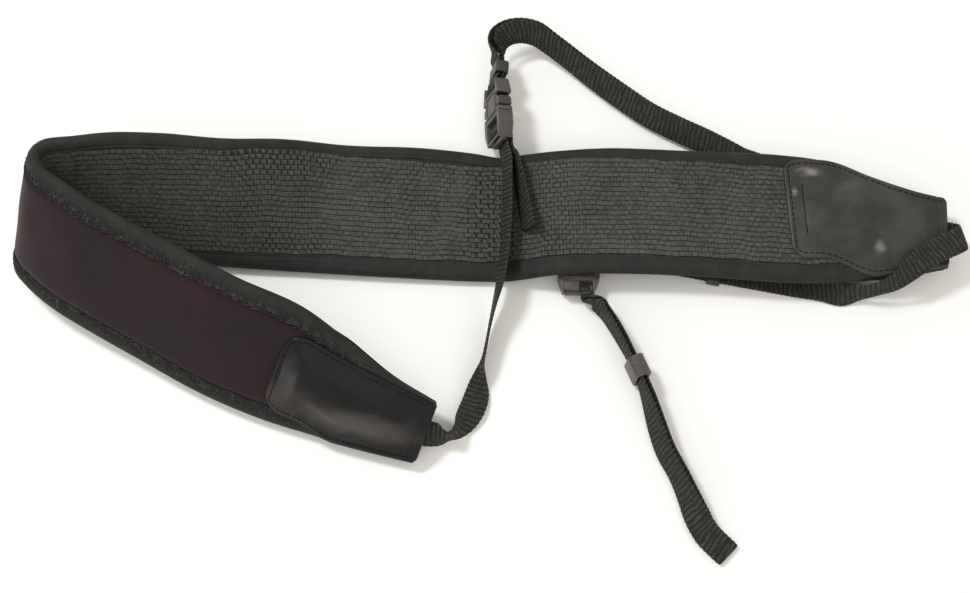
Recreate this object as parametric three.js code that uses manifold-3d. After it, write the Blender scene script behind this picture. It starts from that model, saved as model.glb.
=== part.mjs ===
// A padded neck strap for binoculars, lying loosely doubled over on a flat surface.
// Millimetres, +Z up. The tables place the strap as it lies; the last lines move the
// whole of it so that the middle of its footprint is the origin.
//
// The pad is one long padded band. Its run starts at the right-hand tab, goes left as
// the back run with the grip lining up, stands up and turns round at the left-hand bend,
// and comes back as the front run with its smooth outer face up, to the front tab.

import * as THREE from 'three';
import { mergeVertices } from 'three/addons/utils/BufferGeometryUtils.js';
import Module from 'manifold-3d';

const wasm = await Module();
wasm.setup();

// ---------------------------------------------------------------- driving dimensions

const GAP = 0.3;              // clearance kept between touching pieces
const LINING_THICK = 0.8;     // grip mesh on the inner face
const BINDING_WALL = 0.8;     // binding tape folded over both long edges
const BINDING_LOWER = 7.2;    // how far the tape reaches in from the lower edge
const BINDING_UPPER = 5.6;    // and from the upper edge
const PATCH_THICK = 0.9;      // leatherette patches on the tabs
const PATCH_LENGTH = { right: 63, front: 62 };
const WEB_WIDTH = 10;         // webbing
const WEB_THICK = 1.2;
const POCKET_DEPTH = 9;       // webbing sewn this far into a tab
const LAYER_OFFSET = (WEB_THICK + GAP) / 2;  // of a doubled webbing's layers from its middle
const PAD_STRIDE = 12.5;       // distance between the sections of the band
const WEB_STRIDE = 6;         // and of the webbing
const KEEPER = { width: 12.2, length: 5, wall: 0.75, round: 1, room: 3.8 };
const SINGLE_KEEPER = { ...KEEPER, room: 2.2 };
const LONG_KEEPER = { ...KEEPER, width: 12.7, length: 8.6, wall: 1.1, round: 1.7, room: 4 };

// Side release buckle, in its own frame: x across, y from latch end to socket end, z through.
const BUCKLE = {
  halfMiddle: 8.2, halfEnd: 6.3, halfThick: 3.0, slotHalf: 5.6, barHalf: 0.7,
  endBar: [0, 2.0], middleBar: [5.2, 7.2], block: [10.2, 11.4],
  mouth: 11.7, window: [13.4, 19.6], cavityEnd: 20.4, socketSlot: [22.2, 25.4], length: 27.6,
  cavityHalf: 1.6, cavityWidth: 6.9, plateHalf: 5.4,
};

const BLACK_TAPE = { color: 0x2b2b2a, roughness: 0.62, metalness: 0 };
const NEOPRENE = { color: 0x332a2e, roughness: 0.9, metalness: 0 };
const GRIP_MESH = { color: 0x454442, roughness: 0.8, metalness: 0 };
const LEATHERETTE = { color: 0x3a3937, roughness: 0.45, metalness: 0 };
const WEBBING = { color: 0x2d2d2b, roughness: 0.75, metalness: 0 };
const PLASTIC = { color: 0x4b4a47, roughness: 0.5, metalness: 0 };

// ---------------------------------------------------------------- how the pad lies

// x, y, z: the band's lower edge. bearing and lean: the way its width points, in degrees
// in plan and above level. width: across the band. half: half its thickness.
const PAD_ROWS = [
  { x: 180.6, y: 8.4, z: 8.8, bearing: 87, lean: 3, width: 28.5, half: 1.6 },
  { x: 169, y: 6.2, z: 9.4, bearing: 89, lean: 2, width: 33.5, half: 2.1 },
  { x: 154, y: 3.6, z: 9.8, bearing: 91, lean: 1, width: 42, half: 2.4 },
  { x: 138, y: 2.2, z: 10, bearing: 92, lean: 0, width: 51.2, half: 2.5 },
  { x: 120, y: 2.0, z: 10, bearing: 92, lean: 0, width: 54.4, half: 2.5 },
  { x: 84, y: 4.6, z: 10.2, bearing: 92, lean: 0, width: 53.5, half: 2.5 },
  { x: 52, y: 5.8, z: 10.4, bearing: 92, lean: 0, width: 53.5, half: 2.5 },
  { x: 29, y: 5.4, z: 10.2, bearing: 91, lean: 0, width: 52.6, half: 2.5 },
  { x: 18, y: 5.3, z: 6.4, bearing: 91, lean: 0, width: 53.1, half: 2.5 },
  { x: 8, y: 5.2, z: 3.1, bearing: 91, lean: 0, width: 53.2, half: 2.5 },
  { x: -4, y: 5.4, z: 2.7, bearing: 91, lean: 1, width: 54.8, half: 2.5 },
  { x: -24, y: 6.3, z: 2.7, bearing: 92, lean: 5, width: 54.8, half: 2.5 },
  { x: -60, y: 8.4, z: 2.7, bearing: 92, lean: 11, width: 52.8, half: 2.5 },
  { x: -95, y: 11, z: 2.4, bearing: 91, lean: 36, width: 51.6, half: 2.5 },
  { x: -125, y: 14, z: 2.0, bearing: 87, lean: 45, width: 53.2, half: 2.5 },
  { x: -148, y: 16.5, z: 2.0, bearing: 79, lean: 51, width: 53.8, half: 2.5 },
  { x: -164, y: 17.8, z: 2.4, bearing: 71, lean: 54, width: 53.2, half: 2.5 },
  { x: -177, y: 17.4, z: 3.2, bearing: 66, lean: 56, width: 53.2, half: 2.5 },
  { x: -182, y: 14, z: 4.6, bearing: 60, lean: 56, width: 53.2, half: 2.5 },
  { x: -182, y: 8, z: 6.5, bearing: 57, lean: 54.5, width: 53.2, half: 2.5 },
  { x: -176.5, y: 1, z: 8.0, bearing: 55, lean: 51.5, width: 53.2, half: 2.5 },
  { x: -166.5, y: -7.4, z: 8.0, bearing: 55, lean: 49, width: 53, half: 2.5 },
  { x: -153.5, y: -15.4, z: 7.0, bearing: 56, lean: 48, width: 53, half: 2.5 },
  { x: -133.5, y: -26.5, z: 5.5, bearing: 58, lean: 47, width: 53, half: 2.5 },
  { x: -108, y: -40.4, z: 4.0, bearing: 60, lean: 46, width: 53, half: 2.5 },
  { x: -86, y: -49.8, z: 3.2, bearing: 61, lean: 43, width: 51, half: 2.5 },
  { x: -66, y: -56.4, z: 3.0, bearing: 63, lean: 36, width: 41, half: 2.4 },
  { x: -46, y: -62.4, z: 3.0, bearing: 65, lean: 30, width: 31, half: 2.1 },
  { x: -26, y: -67.8, z: 3.2, bearing: 67, lean: 25, width: 24.5, half: 1.6 },
];

// ---------------------------------------------------------------- how the webbing lies

// x, y, z: the webbing's middle line. bearing and lean: the way its width points.
const FRONT_WEBBING_ROWS = [
  { x: -18.6, y: -58.0, z: 7.7, bearing: 70, lean: 42 },
  { x: -16.0, y: -58.6, z: 6.8, bearing: 74, lean: 68 },
  { x: -13.4, y: -58.1, z: 6.2, bearing: 85, lean: 86 },
  { x: -10.4, y: -56.2, z: 5.6, bearing: 130, lean: 70 },
  { x: -7.2, y: -51.4, z: 4.7, bearing: 150, lean: 36 },
  { x: -4.5, y: -45.8, z: 3.6, bearing: 155, lean: 15 },
  { x: -2.6, y: -39.9, z: 4.0, bearing: 162, lean: 32 },
  { x: -1.7, y: -34.6, z: 5.3, bearing: 170, lean: 62 },
  { x: -0.8, y: -28.5, z: 5.7, bearing: 172, lean: 88 },
  { x: 0.4, y: -22.2, z: 6.0, bearing: -10, lean: 88 },
  { x: 1.9, y: -14.2, z: 7.0, bearing: -12, lean: 85 },
  { x: 3.5, y: -7.4, z: 9.0, bearing: -12, lean: 80 },
  { x: 5.0, y: -1.8, z: 10.8, bearing: -14, lean: 74 },
  { x: 6.2, y: 4.0, z: 11.4, bearing: -12, lean: 70 },
  { x: 8.3, y: 24.0, z: 11.4, bearing: -5, lean: 68 },
  { x: 8.7, y: 41.0, z: 11.8, bearing: 0, lean: 68 },
  { x: 8.7, y: 53.3, z: 12.8, bearing: 2, lean: 69 },
];
const FRONT_TAIL_ROWS = [
  { x: 11.7, y: 54.2, z: 13.0, bearing: 2, lean: 74 },
  { x: 13.0, y: 48.1, z: 13.0, bearing: 0, lean: 72 },
  { x: 14.4, y: 40.1, z: 12.9, bearing: -4, lean: 68 },
  { x: 15.9, y: 31.8, z: 12.9, bearing: -6, lean: 64 },
  { x: 17.2, y: 23.6, z: 12.9, bearing: -8, lean: 60 },
];
const RIGHT_WEBBING_ROWS = [
  { x: 184.6, y: 22.0, z: 10.1, bearing: -84, lean: -4 },
  { x: 186.6, y: 20.6, z: 12.2, bearing: -76, lean: -5 },
  { x: 185.0, y: 18.6, z: 14.4, bearing: -70, lean: -5 },
  { x: 180.6, y: 16.2, z: 15.2, bearing: -66, lean: -4 },
  { x: 175, y: 13.6, z: 15.4, bearing: -64, lean: -6 },
  { x: 169.4, y: 10.2, z: 15.5, bearing: -62, lean: -14 },
  { x: 164, y: 6.0, z: 14.8, bearing: -64, lean: -34 },
  { x: 159, y: 2.2, z: 12.2, bearing: -70, lean: -58 },
  { x: 153.5, y: 0.4, z: 9.0, bearing: -80, lean: -74 },
  { x: 147, y: -0.6, z: 6.2, bearing: -86, lean: -74 },
  { x: 140, y: -0.4, z: 3.9, bearing: -92, lean: -42 },
  { x: 132, y: 2.6, z: 2.0, bearing: -98, lean: -14 },
  { x: 122, y: 4.4, z: 0.95, bearing: -100, lean: 0 },
  { x: 110, y: 6.8, z: 0.9, bearing: -100, lean: 0 },
  { x: 97.5, y: 8.9, z: 1.8, bearing: -101, lean: 0 },
  { x: 84, y: 11.6, z: 1.8, bearing: -102, lean: 0 },
  { x: 72, y: 14.6, z: 0.9, bearing: -112, lean: 0 },
  { x: 63.6, y: 19.2, z: 0.7, bearing: -138, lean: 0 },
  { x: 60, y: 27, z: 0.8, bearing: 180, lean: 0 },
  { x: 60, y: 36.5, z: 1.7, bearing: 180, lean: 0 },
  { x: 55.4, y: 43.4, z: 2.5, bearing: 218, lean: 0 },
  { x: 47.8, y: 46.2, z: 3.0, bearing: 270, lean: 0 },
  { x: 41, y: 43.4, z: 3.2, bearing: -46, lean: 0 },
  { x: 38.8, y: 36.4, z: 3.0, bearing: -10, lean: 0 },
];
const RIGHT_TAIL_ROWS = [
  { x: 38.1, y: 31.6, z: 0.8, bearing: -3, lean: 0 },
  { x: 38.4, y: 36.4, z: 0.65, bearing: -3, lean: 0 },
  { x: 38.6, y: 41.2, z: 0.65, bearing: -3, lean: 0 },
];
// Doubled webbing, from the buckle's bar to the fold of the loop.
const BACK_LOOP_ROWS = [
  { x: 5.4, y: 91.2, z: 10.8, bearing: 2, lean: 74 },
  { x: 5.8, y: 96.4, z: 10.6, bearing: 1, lean: 76 },
  { x: 4.9, y: 101.2, z: 10.8, bearing: -5, lean: 80 },
  { x: 4.6, y: 104.6, z: 11.5, bearing: 156, lean: 66 },
  { x: 5.7, y: 108.2, z: 12.4, bearing: 140, lean: 55 },
  { x: 9.3, y: 111.1, z: 12.5, bearing: 118, lean: 51 },
  { x: 14.9, y: 112.52, z: 11.9, bearing: 90, lean: 49 },
  { x: 21.2, y: 111.8, z: 10.5, bearing: 66, lean: 53 },
  { x: 27.0, y: 108.2, z: 9.0, bearing: 55, lean: 59 },
  { x: 35.2, y: 102.0, z: 7.4, bearing: 50, lean: 59 },
  { x: 44.4, y: 94.6, z: 6.0, bearing: 48, lean: 54 },
  { x: 57.0, y: 84.8, z: 5.0, bearing: 50, lean: 44 },
  { x: 67.2, y: 77.2, z: 4.8, bearing: 56, lean: 42 },
  { x: 79.0, y: 70.6, z: 4.7, bearing: 63, lean: 40 },
  { x: 90.4, y: 65.2, z: 4.0, bearing: 66, lean: 30 },
  { x: 98, y: 61.4, z: 2.8, bearing: 67, lean: 14 },
  { x: 104, y: 58.8, z: 1.5, bearing: 68, lean: 0 },
  { x: 107.3, y: 57.5, z: 1.5, bearing: 68, lean: 0 },
  { x: 110.6, y: 56.2, z: 1.5, bearing: 68, lean: 0 },
];
const FRONT_LOOP_ROWS = [
  { x: 43.6, y: -4.6, z: 5.4, bearing: 22, lean: 70 },
  { x: 46.2, y: -8.0, z: 5.8, bearing: 26, lean: 80 },
  { x: 50.0, y: -14.4, z: 6.3, bearing: 26, lean: 82 },
  { x: 53.3, y: -20.9, z: 6.5, bearing: 26, lean: 84 },
  { x: 56.6, y: -28.2, z: 6.7, bearing: 26, lean: 87 },
  { x: 59.8, y: -36.0, z: 6.7, bearing: 26, lean: 84 },
  { x: 62.6, y: -45.2, z: 5.9, bearing: 21, lean: 73 },
  { x: 65.0, y: -54.4, z: 5.3, bearing: 17, lean: 63 },
  { x: 67.8, y: -63.4, z: 5.2, bearing: 22, lean: 61 },
  { x: 72.0, y: -72.0, z: 5.2, bearing: 27, lean: 62 },
  { x: 75.2, y: -79.8, z: 5.0, bearing: 20, lean: 54 },
  { x: 78.2, y: -87.4, z: 4.1, bearing: 25, lean: 34 },
  { x: 81.6, y: -93.4, z: 2.0, bearing: 38, lean: 8 },
  { x: 84.6, y: -96.8, z: 1.5, bearing: 45, lean: 0 },
  { x: 86.8, y: -99.0, z: 1.5, bearing: 45, lean: 0 },
  { x: 89.0, y: -101.2, z: 1.5, bearing: 45, lean: 0 },
];

// Where each buckle's latch end lies, which way its length points and how its width leans.
const BACK_BUCKLE = { x: 6.0, y: 60.6, z: 11.8, bearing: 93, lean: 70, widthBearing: 3 };
const FRONT_BUCKLE = { x: 37.7, y: 26.4, z: 4.45, bearing: 267, lean: 0, widthBearing: 177 };
// Where the bunched front loop sits along the bar, and just off it.
const BUNCH_SHIFTS = [-3.0, -3.9];
// Where along a loop its two layers spread apart round its bend, and where they close again.
const SPREAD = { opens: [10, 16], closes: [26, 50] };

// ---------------------------------------------------------------- paths

const vec = (x, y, z) => new THREE.Vector3(x, y, z);

// A unit vector that points `bearing` degrees round from +X and `lean` degrees above level.
function direction(bearing, lean) {
  const [b, l] = [THREE.MathUtils.degToRad(bearing), THREE.MathUtils.degToRad(lean)];
  return vec(Math.cos(l) * Math.cos(b), Math.cos(l) * Math.sin(b), Math.sin(l));
}

// A row of a table as a station: a point, the width's direction and other plain numbers.
function station({ x, y, z, bearing, lean, ...rest }) {
  return { point: vec(x, y, z), across: direction(bearing, lean), ...rest };
}

// Slope at station i of a curve through unevenly spaced values (non-uniform Catmull-Rom).
function slope(before, here, after, spanBefore, spanAfter) {
  return here.clone().sub(before).divideScalar(spanBefore)
    .sub(after.clone().sub(before).divideScalar(spanBefore + spanAfter))
    .add(after.clone().sub(here).divideScalar(spanAfter));
}

// A smooth curve through the values at the given knots, `steps[i]` stations on span i.
function smooth(values, knots, steps) {
  const last = values.length - 1;
  const slopes = values.map((value, i) => {
    if (i === 0) return values[1].clone().sub(value).divideScalar(knots[1] - knots[0]);
    if (i === last) {
      return value.clone().sub(values[last - 1]).divideScalar(knots[last] - knots[last - 1]);
    }
    return slope(values[i - 1], value, values[i + 1], knots[i] - knots[i - 1],
      knots[i + 1] - knots[i]);
  });
  const out = [];
  for (let i = 0; i < last; i++) {
    const span = knots[i + 1] - knots[i];
    for (let k = 0; k < steps[i]; k++) {
      const s = k / steps[i];
      const [s2, s3] = [s * s, s * s * s];
      out.push(values[i].clone().multiplyScalar(2 * s3 - 3 * s2 + 1)
        .addScaledVector(slopes[i], (s3 - 2 * s2 + s) * span)
        .addScaledVector(values[i + 1], 3 * s2 - 2 * s3)
        .addScaledVector(slopes[i + 1], (s3 - s2) * span));
    }
  }
  out.push(values[last].clone());
  return out;
}

// Stations filled in so that none are much more than `stride` apart. `centre` gives the point
// whose travel sets the heading. Each result has along (unit heading), across and face
// (along x across), and `width` and `half` where the stations have them.
function fillIn(stations, stride, centre = (s) => s.point) {
  const knots = [0];
  const steps = [];
  for (let i = 1; i < stations.length; i++) {
    const chord = stations[i].point.distanceTo(stations[i - 1].point);
    knots.push(knots[i - 1] + Math.sqrt(chord));
    steps.push(Math.max(2, Math.round(chord / stride)));
  }
  const points = smooth(stations.map((s) => s.point), knots, steps);
  const across = smooth(stations.map((s) => s.across), knots, steps);
  const sizes = smooth(stations.map((s) => vec(s.width ?? 0, s.half ?? 0, 0)), knots, steps);
  const path = points.map((point, i) => ({
    point, across: across[i].normalize(), width: sizes[i].x, half: sizes[i].y,
  }));
  return withHeadings(path, centre);
}

// Adds the heading, the face direction and the distance along to every station of a path.
function withHeadings(path, centre = (s) => s.point) {
  let distance = 0;
  return path.map((s, i) => {
    const before = centre(path[Math.max(i - 1, 0)]);
    const after = centre(path[Math.min(i + 1, path.length - 1)]);
    const along = after.clone().sub(before).normalize();
    if (i > 0) distance += centre(s).distanceTo(centre(path[i - 1]));
    const face = along.clone().cross(s.across).normalize();
    return { ...s, along, face, distance };
  });
}

// The station of a path at a distance along it.
function stationAt(path, distance) {
  const i = path.findIndex((s) => s.distance >= distance);
  if (i <= 0) return path[i === 0 ? 0 : path.length - 1];
  const [a, b] = [path[i - 1], path[i]];
  const t = (distance - a.distance) / (b.distance - a.distance);
  const mix = (key) => a[key].clone().lerp(b[key], t);
  return {
    point: mix('point'), across: mix('across').normalize(), along: mix('along').normalize(),
    face: mix('face').normalize(), distance,
    width: THREE.MathUtils.lerp(a.width, b.width, t),
    half: THREE.MathUtils.lerp(a.half, b.half, t),
  };
}

// The part of a path between two distances, with stations of its own at both.
function between(path, from, to) {
  const near = 0.5;
  const inside = path.filter((s) => s.distance > from + near && s.distance < to - near);
  return [stationAt(path, from), ...inside, stationAt(path, to)];
}

// ---------------------------------------------------------------- solids

function geometryOf(positions, triangles) {
  const geometry = new THREE.BufferGeometry();
  geometry.setAttribute('position', new THREE.Float32BufferAttribute(positions, 3));
  geometry.setIndex(triangles);
  return geometry;
}

// A closed body swept through sections. Every section has the same number of outline points,
// anticlockwise seen against the travel; `closed` joins the last section to the first. Edges
// that run back across the outline are split the other way, so that facing sides stay parallel.
function loft(sections, flatOutline, closed = false) {
  const count = sections[0].length;
  const positions = sections.flat().flatMap((p) => [p.x, p.y, p.z]);
  const triangles = [];
  const spans = closed ? sections.length : sections.length - 1;
  for (let i = 0; i < spans; i++) {
    const [here, next] = [i * count, ((i + 1) % sections.length) * count];
    for (let j = 0; j < count; j++) {
      const k = (j + 1) % count;
      if (flatOutline && flatOutline[k].x < flatOutline[j].x) {
        triangles.push(here + j, here + k, next + j, here + k, next + k, next + j);
      } else {
        triangles.push(here + j, here + k, next + k, here + j, next + k, next + j);
      }
    }
  }
  if (!closed) {
    const end = (sections.length - 1) * count;
    for (const [a, b, c] of THREE.ShapeUtils.triangulateShape(flatOutline, [])) {
      triangles.push(a, c, b, end + a, end + b, end + c);
    }
  }
  return geometryOf(positions, triangles);
}

// Sweeps an outline given as (across, face) pairs, which may change with the station.
function sweep(path, outlineAt) {
  const sections = path.map((s) => outlineAt(s).map(([across, face]) => s.point.clone()
    .addScaledVector(s.across, across).addScaledVector(s.face, face)));
  const flat = outlineAt(path[0]).map(([across, face]) => new THREE.Vector2(across, face));
  return loft(sections, flat);
}

// A rectangle about the path's line, anticlockwise.
const rectangle = (halfWidth, halfThick) => [
  [-halfWidth, -halfThick], [halfWidth, -halfThick], [halfWidth, halfThick],
  [-halfWidth, halfThick],
];

function toManifold(geometry) {
  const bare = geometry.clone();
  bare.deleteAttribute('normal');
  bare.deleteAttribute('uv');
  const merged = mergeVertices(bare, 1e-4);
  return new wasm.Manifold(new wasm.Mesh({
    numProp: 3,
    vertProperties: new Float32Array(merged.attributes.position.array),
    triVerts: new Uint32Array(merged.index.array),
  }));
}

function fromManifold(solid) {
  const mesh = solid.getMesh();
  return geometryOf(mesh.vertProperties, [...mesh.triVerts]);
}

const cut = (body, ...tools) => fromManifold(tools.reduce(
  (left, tool) => left.subtract(toManifold(tool)), toManifold(body)));
const join = (first, ...others) => fromManifold(others.reduce(
  (whole, other) => whole.add(toManifold(other)), toManifold(first)));

// A box between two corners.
function block([x0, y0, z0], [x1, y1, z1]) {
  return new THREE.BoxGeometry(x1 - x0, y1 - y0, z1 - z0)
    .translate((x0 + x1) / 2, (y0 + y1) / 2, (z0 + z1) / 2);
}

// A flat plate of a plan outline, centred on z = 0.
function plate(points, halfThick) {
  const shape = new THREE.Shape(points.map(([x, y]) => new THREE.Vector2(x, y)));
  return new THREE.ExtrudeGeometry(shape, { depth: 2 * halfThick, bevelEnabled: false })
    .translate(0, 0, -halfThick);
}

// ---------------------------------------------------------------- the padded band

const padMiddle = (s) => s.point.clone().addScaledVector(s.across, s.width / 2);
const PAD = fillIn(PAD_ROWS.map(station), PAD_STRIDE, padMiddle);
const PAD_LENGTH = PAD[PAD.length - 1].distance;

// Points across a broad face between its edges, in order; they keep its facets narrow.
const FACE_STEPS = [0.3, 0.5, 0.7];
const acrossFace = (low, high, width, face) => [low, ...FACE_STEPS.map((t) => t * width), high]
  .map((across) => [across, face]);

// The foam core with its outer cover: thinner where the binding and the tabs wrap it.
function foamOutline({ width, half }) {
  const edge = BINDING_WALL + GAP;
  const under = half - BINDING_WALL - GAP;
  const inner = -(half - LINING_THICK - GAP);
  const [low, high] = [BINDING_LOWER + GAP, width - BINDING_UPPER - GAP];
  return [
    [edge, 0], [edge + 1, inner], ...acrossFace(low, high, width, inner),
    [width - edge - 1, inner], [width - edge, 0],
    [width - edge - 1, under], [high + 0.1, under],
    ...acrossFace(low + 0.2, high - 0.2, width, half).reverse(),
    [low - 0.1, under], [edge + 1, under],
  ];
}

function liningOutline({ width, half }) {
  const [low, high] = [BINDING_LOWER + GAP, width - BINDING_UPPER - GAP];
  return [...acrossFace(low, high, width, -half),
    ...acrossFace(low, high, width, LINING_THICK - half).reverse()];
}

// Tape folded over an edge, from its reach on the inner face round to the outer face.
function bindingOutline(half, reach) {
  const wall = BINDING_WALL;
  const corner = 0.9;
  return [
    [reach, -half], [reach, wall - half], [wall + corner, wall - half], [wall, 0],
    [wall + corner, half - wall], [reach, half - wall], [reach, half],
    [corner, half], [0, 0], [corner, -half],
  ];
}

const lowerBindingOutline = ({ half }) => bindingOutline(half, BINDING_LOWER);
const upperBindingOutline = ({ width, half }) => bindingOutline(half, BINDING_UPPER)
  .map(([across, face]) => [width - across, face]).reverse();

// A leatherette patch over a tab. `side` is -1 on the inner face and 1 on the outer face;
// `start` is the end away from the webbing, where the patch is narrow with round corners.
function tabPatch(side, path, start) {
  const end = start === path[0] ? path[path.length - 1] : path[0];
  const reach = Math.abs(end.distance - start.distance);
  return sweep(path, ({ width, half, distance }) => {
    const t = Math.abs(distance - start.distance) / reach;
    const round = 3.5 * (1 - Math.min(1, t / 0.08)) ** 2;
    const low = 0.4 + (BINDING_LOWER + 2) * THREE.MathUtils.smoothstep(-t, -0.85, -0.25) + round;
    const high = width - 0.4 - BINDING_UPPER * THREE.MathUtils.smoothstep(-t, -0.45, 0) - round;
    const [near, far] = [half + GAP, half + GAP + PATCH_THICK];
    const [bottom, top] = side < 0 ? [-far, -near] : [near, far];
    return [...acrossFace(low, high, width, bottom), ...acrossFace(low, high, width, top).reverse()];
  });
}

// ---------------------------------------------------------------- buckle frames and straps

// The frame of a buckle: its latch end's middle and its three directions.
function buckleFrame({ x, y, z, bearing, lean, widthBearing }) {
  const length = direction(bearing, 0);
  const width = direction(widthBearing, lean);
  const through = width.clone().cross(length).normalize();
  return { origin: vec(x, y, z), width, length, through };
}

// A point of a buckle at its own x, y, z.
function atBuckle(frame, x, y, z) {
  return frame.origin.clone().addScaledVector(frame.width, x)
    .addScaledVector(frame.length, y).addScaledVector(frame.through, z);
}

// Webbing threaded through the latch: behind the end bar, over the middle bar, and back out
// behind the strap that came in. Pairs of y and z in the buckle's frame.
const LADDER_THREAD = [
  [-1.2, -1.6], [1.6, -1.6], [2.6, -1.3], [3.6, 0], [4.6, 1.3], [5.6, 1.6], [6.8, 1.6],
  [8.3, 1.0], [8.9, -0.6], [8.3, -2.2], [6.6, -3.2], [4, -3.5], [0.6, -3.5], [-2.6, -3.6],
];

function threaded(frame, turn) {
  return LADDER_THREAD.map(([y, z]) => ({
    point: atBuckle(frame, 0, y, z), across: frame.width.clone().multiplyScalar(turn),
  }));
}

const webSection = rectangle(WEB_WIDTH / 2, WEB_THICK / 2);
const webbing = (path) => sweep(path, () => webSection);

// The webbing's sewn end, in the tab's own middle plane, at distances along the pad from
// deep in the tab to its end.
function sewnEnd(distances) {
  const heading = Math.sign(distances[1] - distances[0]);
  return distances.map((distance) => stationAt(PAD, distance)).map((s) => (
    { point: padMiddle(s), across: s.across.clone().multiplyScalar(heading) }));
}

// The pocket in a tab's foam that the webbing's sewn end fills.
function pocket(path) {
  const first = path[0];
  const behind = { ...first, point: first.point.clone().addScaledVector(first.along, -GAP) };
  const reach = between(path, 0, POCKET_DEPTH + 4);
  return sweep([behind, ...reach], () => rectangle(WEB_WIDTH / 2 + GAP, WEB_THICK / 2 + GAP));
}

// Doubled webbing as one endless strap: round the buckle's bar, out along one face of the
// path, round the fold and back along the other. `gather` bunches it to one side at the bar.
function loopPath(frame, rows, turn, shifts) {
  const barY = BUCKLE.socketSlot[1] + 1;
  const start = [barY - 0.3, barY + 2.2].map((y, i) => ({
    point: atBuckle(frame, shifts[i], y, 0), across: frame.width.clone().multiplyScalar(turn),
  }));
  return fillIn([...start, ...rows.map(station)], WEB_STRIDE);
}

function loopStrap(path, gather) {
  const wide = 1.65 + gather.extra;
  const bunch = ({ distance }) => THREE.MathUtils.smoothstep(gather.length - distance, 0,
    gather.length);
  const offsetAt = (s) => {
    const apart = LAYER_OFFSET + WEB_THICK / 2 * gather.swell * bunch(s)
      + gather.spread * THREE.MathUtils.smoothstep(s.distance, ...SPREAD.opens)
      * (1 - THREE.MathUtils.smoothstep(s.distance, ...SPREAD.closes));
    return apart + (wide - apart) * THREE.MathUtils.smoothstep(3.8 - s.distance, 0, 2.8);
  };
  const sections = [];
  const section = (s, offset, outward, spread) => {
    const halfWidth = WEB_WIDTH / 2 * (1 - gather.amount * spread);
    const halfThick = WEB_THICK / 2 * (1 + gather.swell * spread);
    const middle = s.point.clone().add(offset);
    return [[-1, -1], [1, -1], [1, 1], [-1, 1]].map(([a, b]) => middle.clone()
      .addScaledVector(s.across, a * halfWidth).addScaledVector(outward, b * halfThick));
  };
  for (const s of path) {
    sections.push(section(s, s.face.clone().multiplyScalar(offsetAt(s)), s.face, bunch(s)));
  }
  const turnRound = (s, radius, heading, spread) => {
    for (const angle of [45, 90, 135].map(THREE.MathUtils.degToRad)) {
      const outward = s.face.clone().multiplyScalar(Math.cos(angle) * heading.sign)
        .addScaledVector(s.along, Math.sin(angle) * heading.sign);
      sections.push(section(s, outward.clone().multiplyScalar(radius), outward, spread));
    }
  };
  turnRound(path[path.length - 1], LAYER_OFFSET, { sign: 1 }, 0);
  for (const s of [...path].reverse()) {
    const back = s.face.clone().negate();
    sections.push(section(s, back.clone().multiplyScalar(offsetAt(s)), back, bunch(s)));
  }
  turnRound(path[0], offsetAt(path[0]), { sign: -1 }, bunch(path[0]));
  return loft(sections, null, true);
}

// ---------------------------------------------------------------- hard pieces

const mirrored = (points) => [...points, ...points.map(([x, y]) => [-x, y]).reverse()];

// Places a piece built in a buckle's frame.
function placed(geometry, { origin, width, length, through }) {
  const matrix = new THREE.Matrix4().makeBasis(width, length, through).setPosition(origin);
  return geometry.applyMatrix4(matrix);
}

function latchBody() {
  const b = BUCKLE;
  const [m, e, h] = [b.halfMiddle, b.halfEnd, b.halfThick];
  const base = plate(mirrored([[e - 1.2, 0], [e, 1.2], [m, b.endBar[1] + 4], [m, b.block[1]]]), h);
  const slot = (from, to) => block([-b.slotHalf, from, -h - 1], [b.slotHalf, to, h + 1]);
  const thin = ([from, to], side) => block(
    [-b.slotHalf, from - 1, side < 0 ? -h - 1 : b.barHalf],
    [b.slotHalf, to + 0.1, side < 0 ? -b.barHalf : h + 1]);
  const framed = cut(base, slot(b.endBar[1], b.middleBar[0]), slot(b.middleBar[1], b.block[0]),
    thin(b.endBar, 1), thin(b.endBar, -1), thin(b.middleBar, 1), thin(b.middleBar, -1));
  const inside = b.cavityHalf - GAP;
  const [w0, w1] = b.window;
  const prong = (side) => {
    const arm = [[4.4, b.block[0]], [6.3, b.block[0]], [6.3, w1 - 0.7], [4.4, w1 - 0.7]];
    const pad = [[5.7, w0 + 0.6], [m - 0.1, w0 + 1.1], [m - 0.1, w1 - 2.4], [5.7, w1 - 0.7]];
    const turned = (points) => points.map(([x, y]) => [x * side, y]);
    return [plate(turned(arm), inside), plate(turned(pad), h - 0.2)];
  };
  const tongue = block([-1.3, b.block[0], -inside], [1.3, b.cavityEnd - 1, inside]);
  return join(framed, ...prong(1), ...prong(-1), tongue);
}

function socketBody() {
  const b = BUCKLE;
  const [m, e, h] = [b.halfMiddle, b.halfEnd, b.halfThick];
  const shell = plate(mirrored([[m, b.mouth], [m, b.window[1] + 1], [e, b.length - 1.2],
    [e - 1.2, b.length]]), h);
  const cavity = block([-b.cavityWidth, b.mouth - 1, -b.cavityHalf],
    [b.cavityWidth, b.cavityEnd, b.cavityHalf]);
  const sideWindow = (side) => block(
    side < 0 ? [-m - 1, b.window[0], -h - 1] : [b.plateHalf, b.window[0], -h - 1],
    side < 0 ? [-b.plateHalf, b.window[1], h + 1] : [m + 1, b.window[1], h + 1]);
  const [s0, s1] = b.socketSlot;
  const slot = block([-b.slotHalf, s0, -h - 1], [b.slotHalf, s1, h + 1]);
  const thin = (side) => block(
    [-b.slotHalf, s1 - 0.1, side < 0 ? -h - 1 : b.barHalf],
    [b.slotHalf, b.length + 1, side < 0 ? -b.barHalf : h + 1]);
  return cut(shell, cavity, sideWindow(1), sideWindow(-1), slot, thin(1), thin(-1));
}

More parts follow.
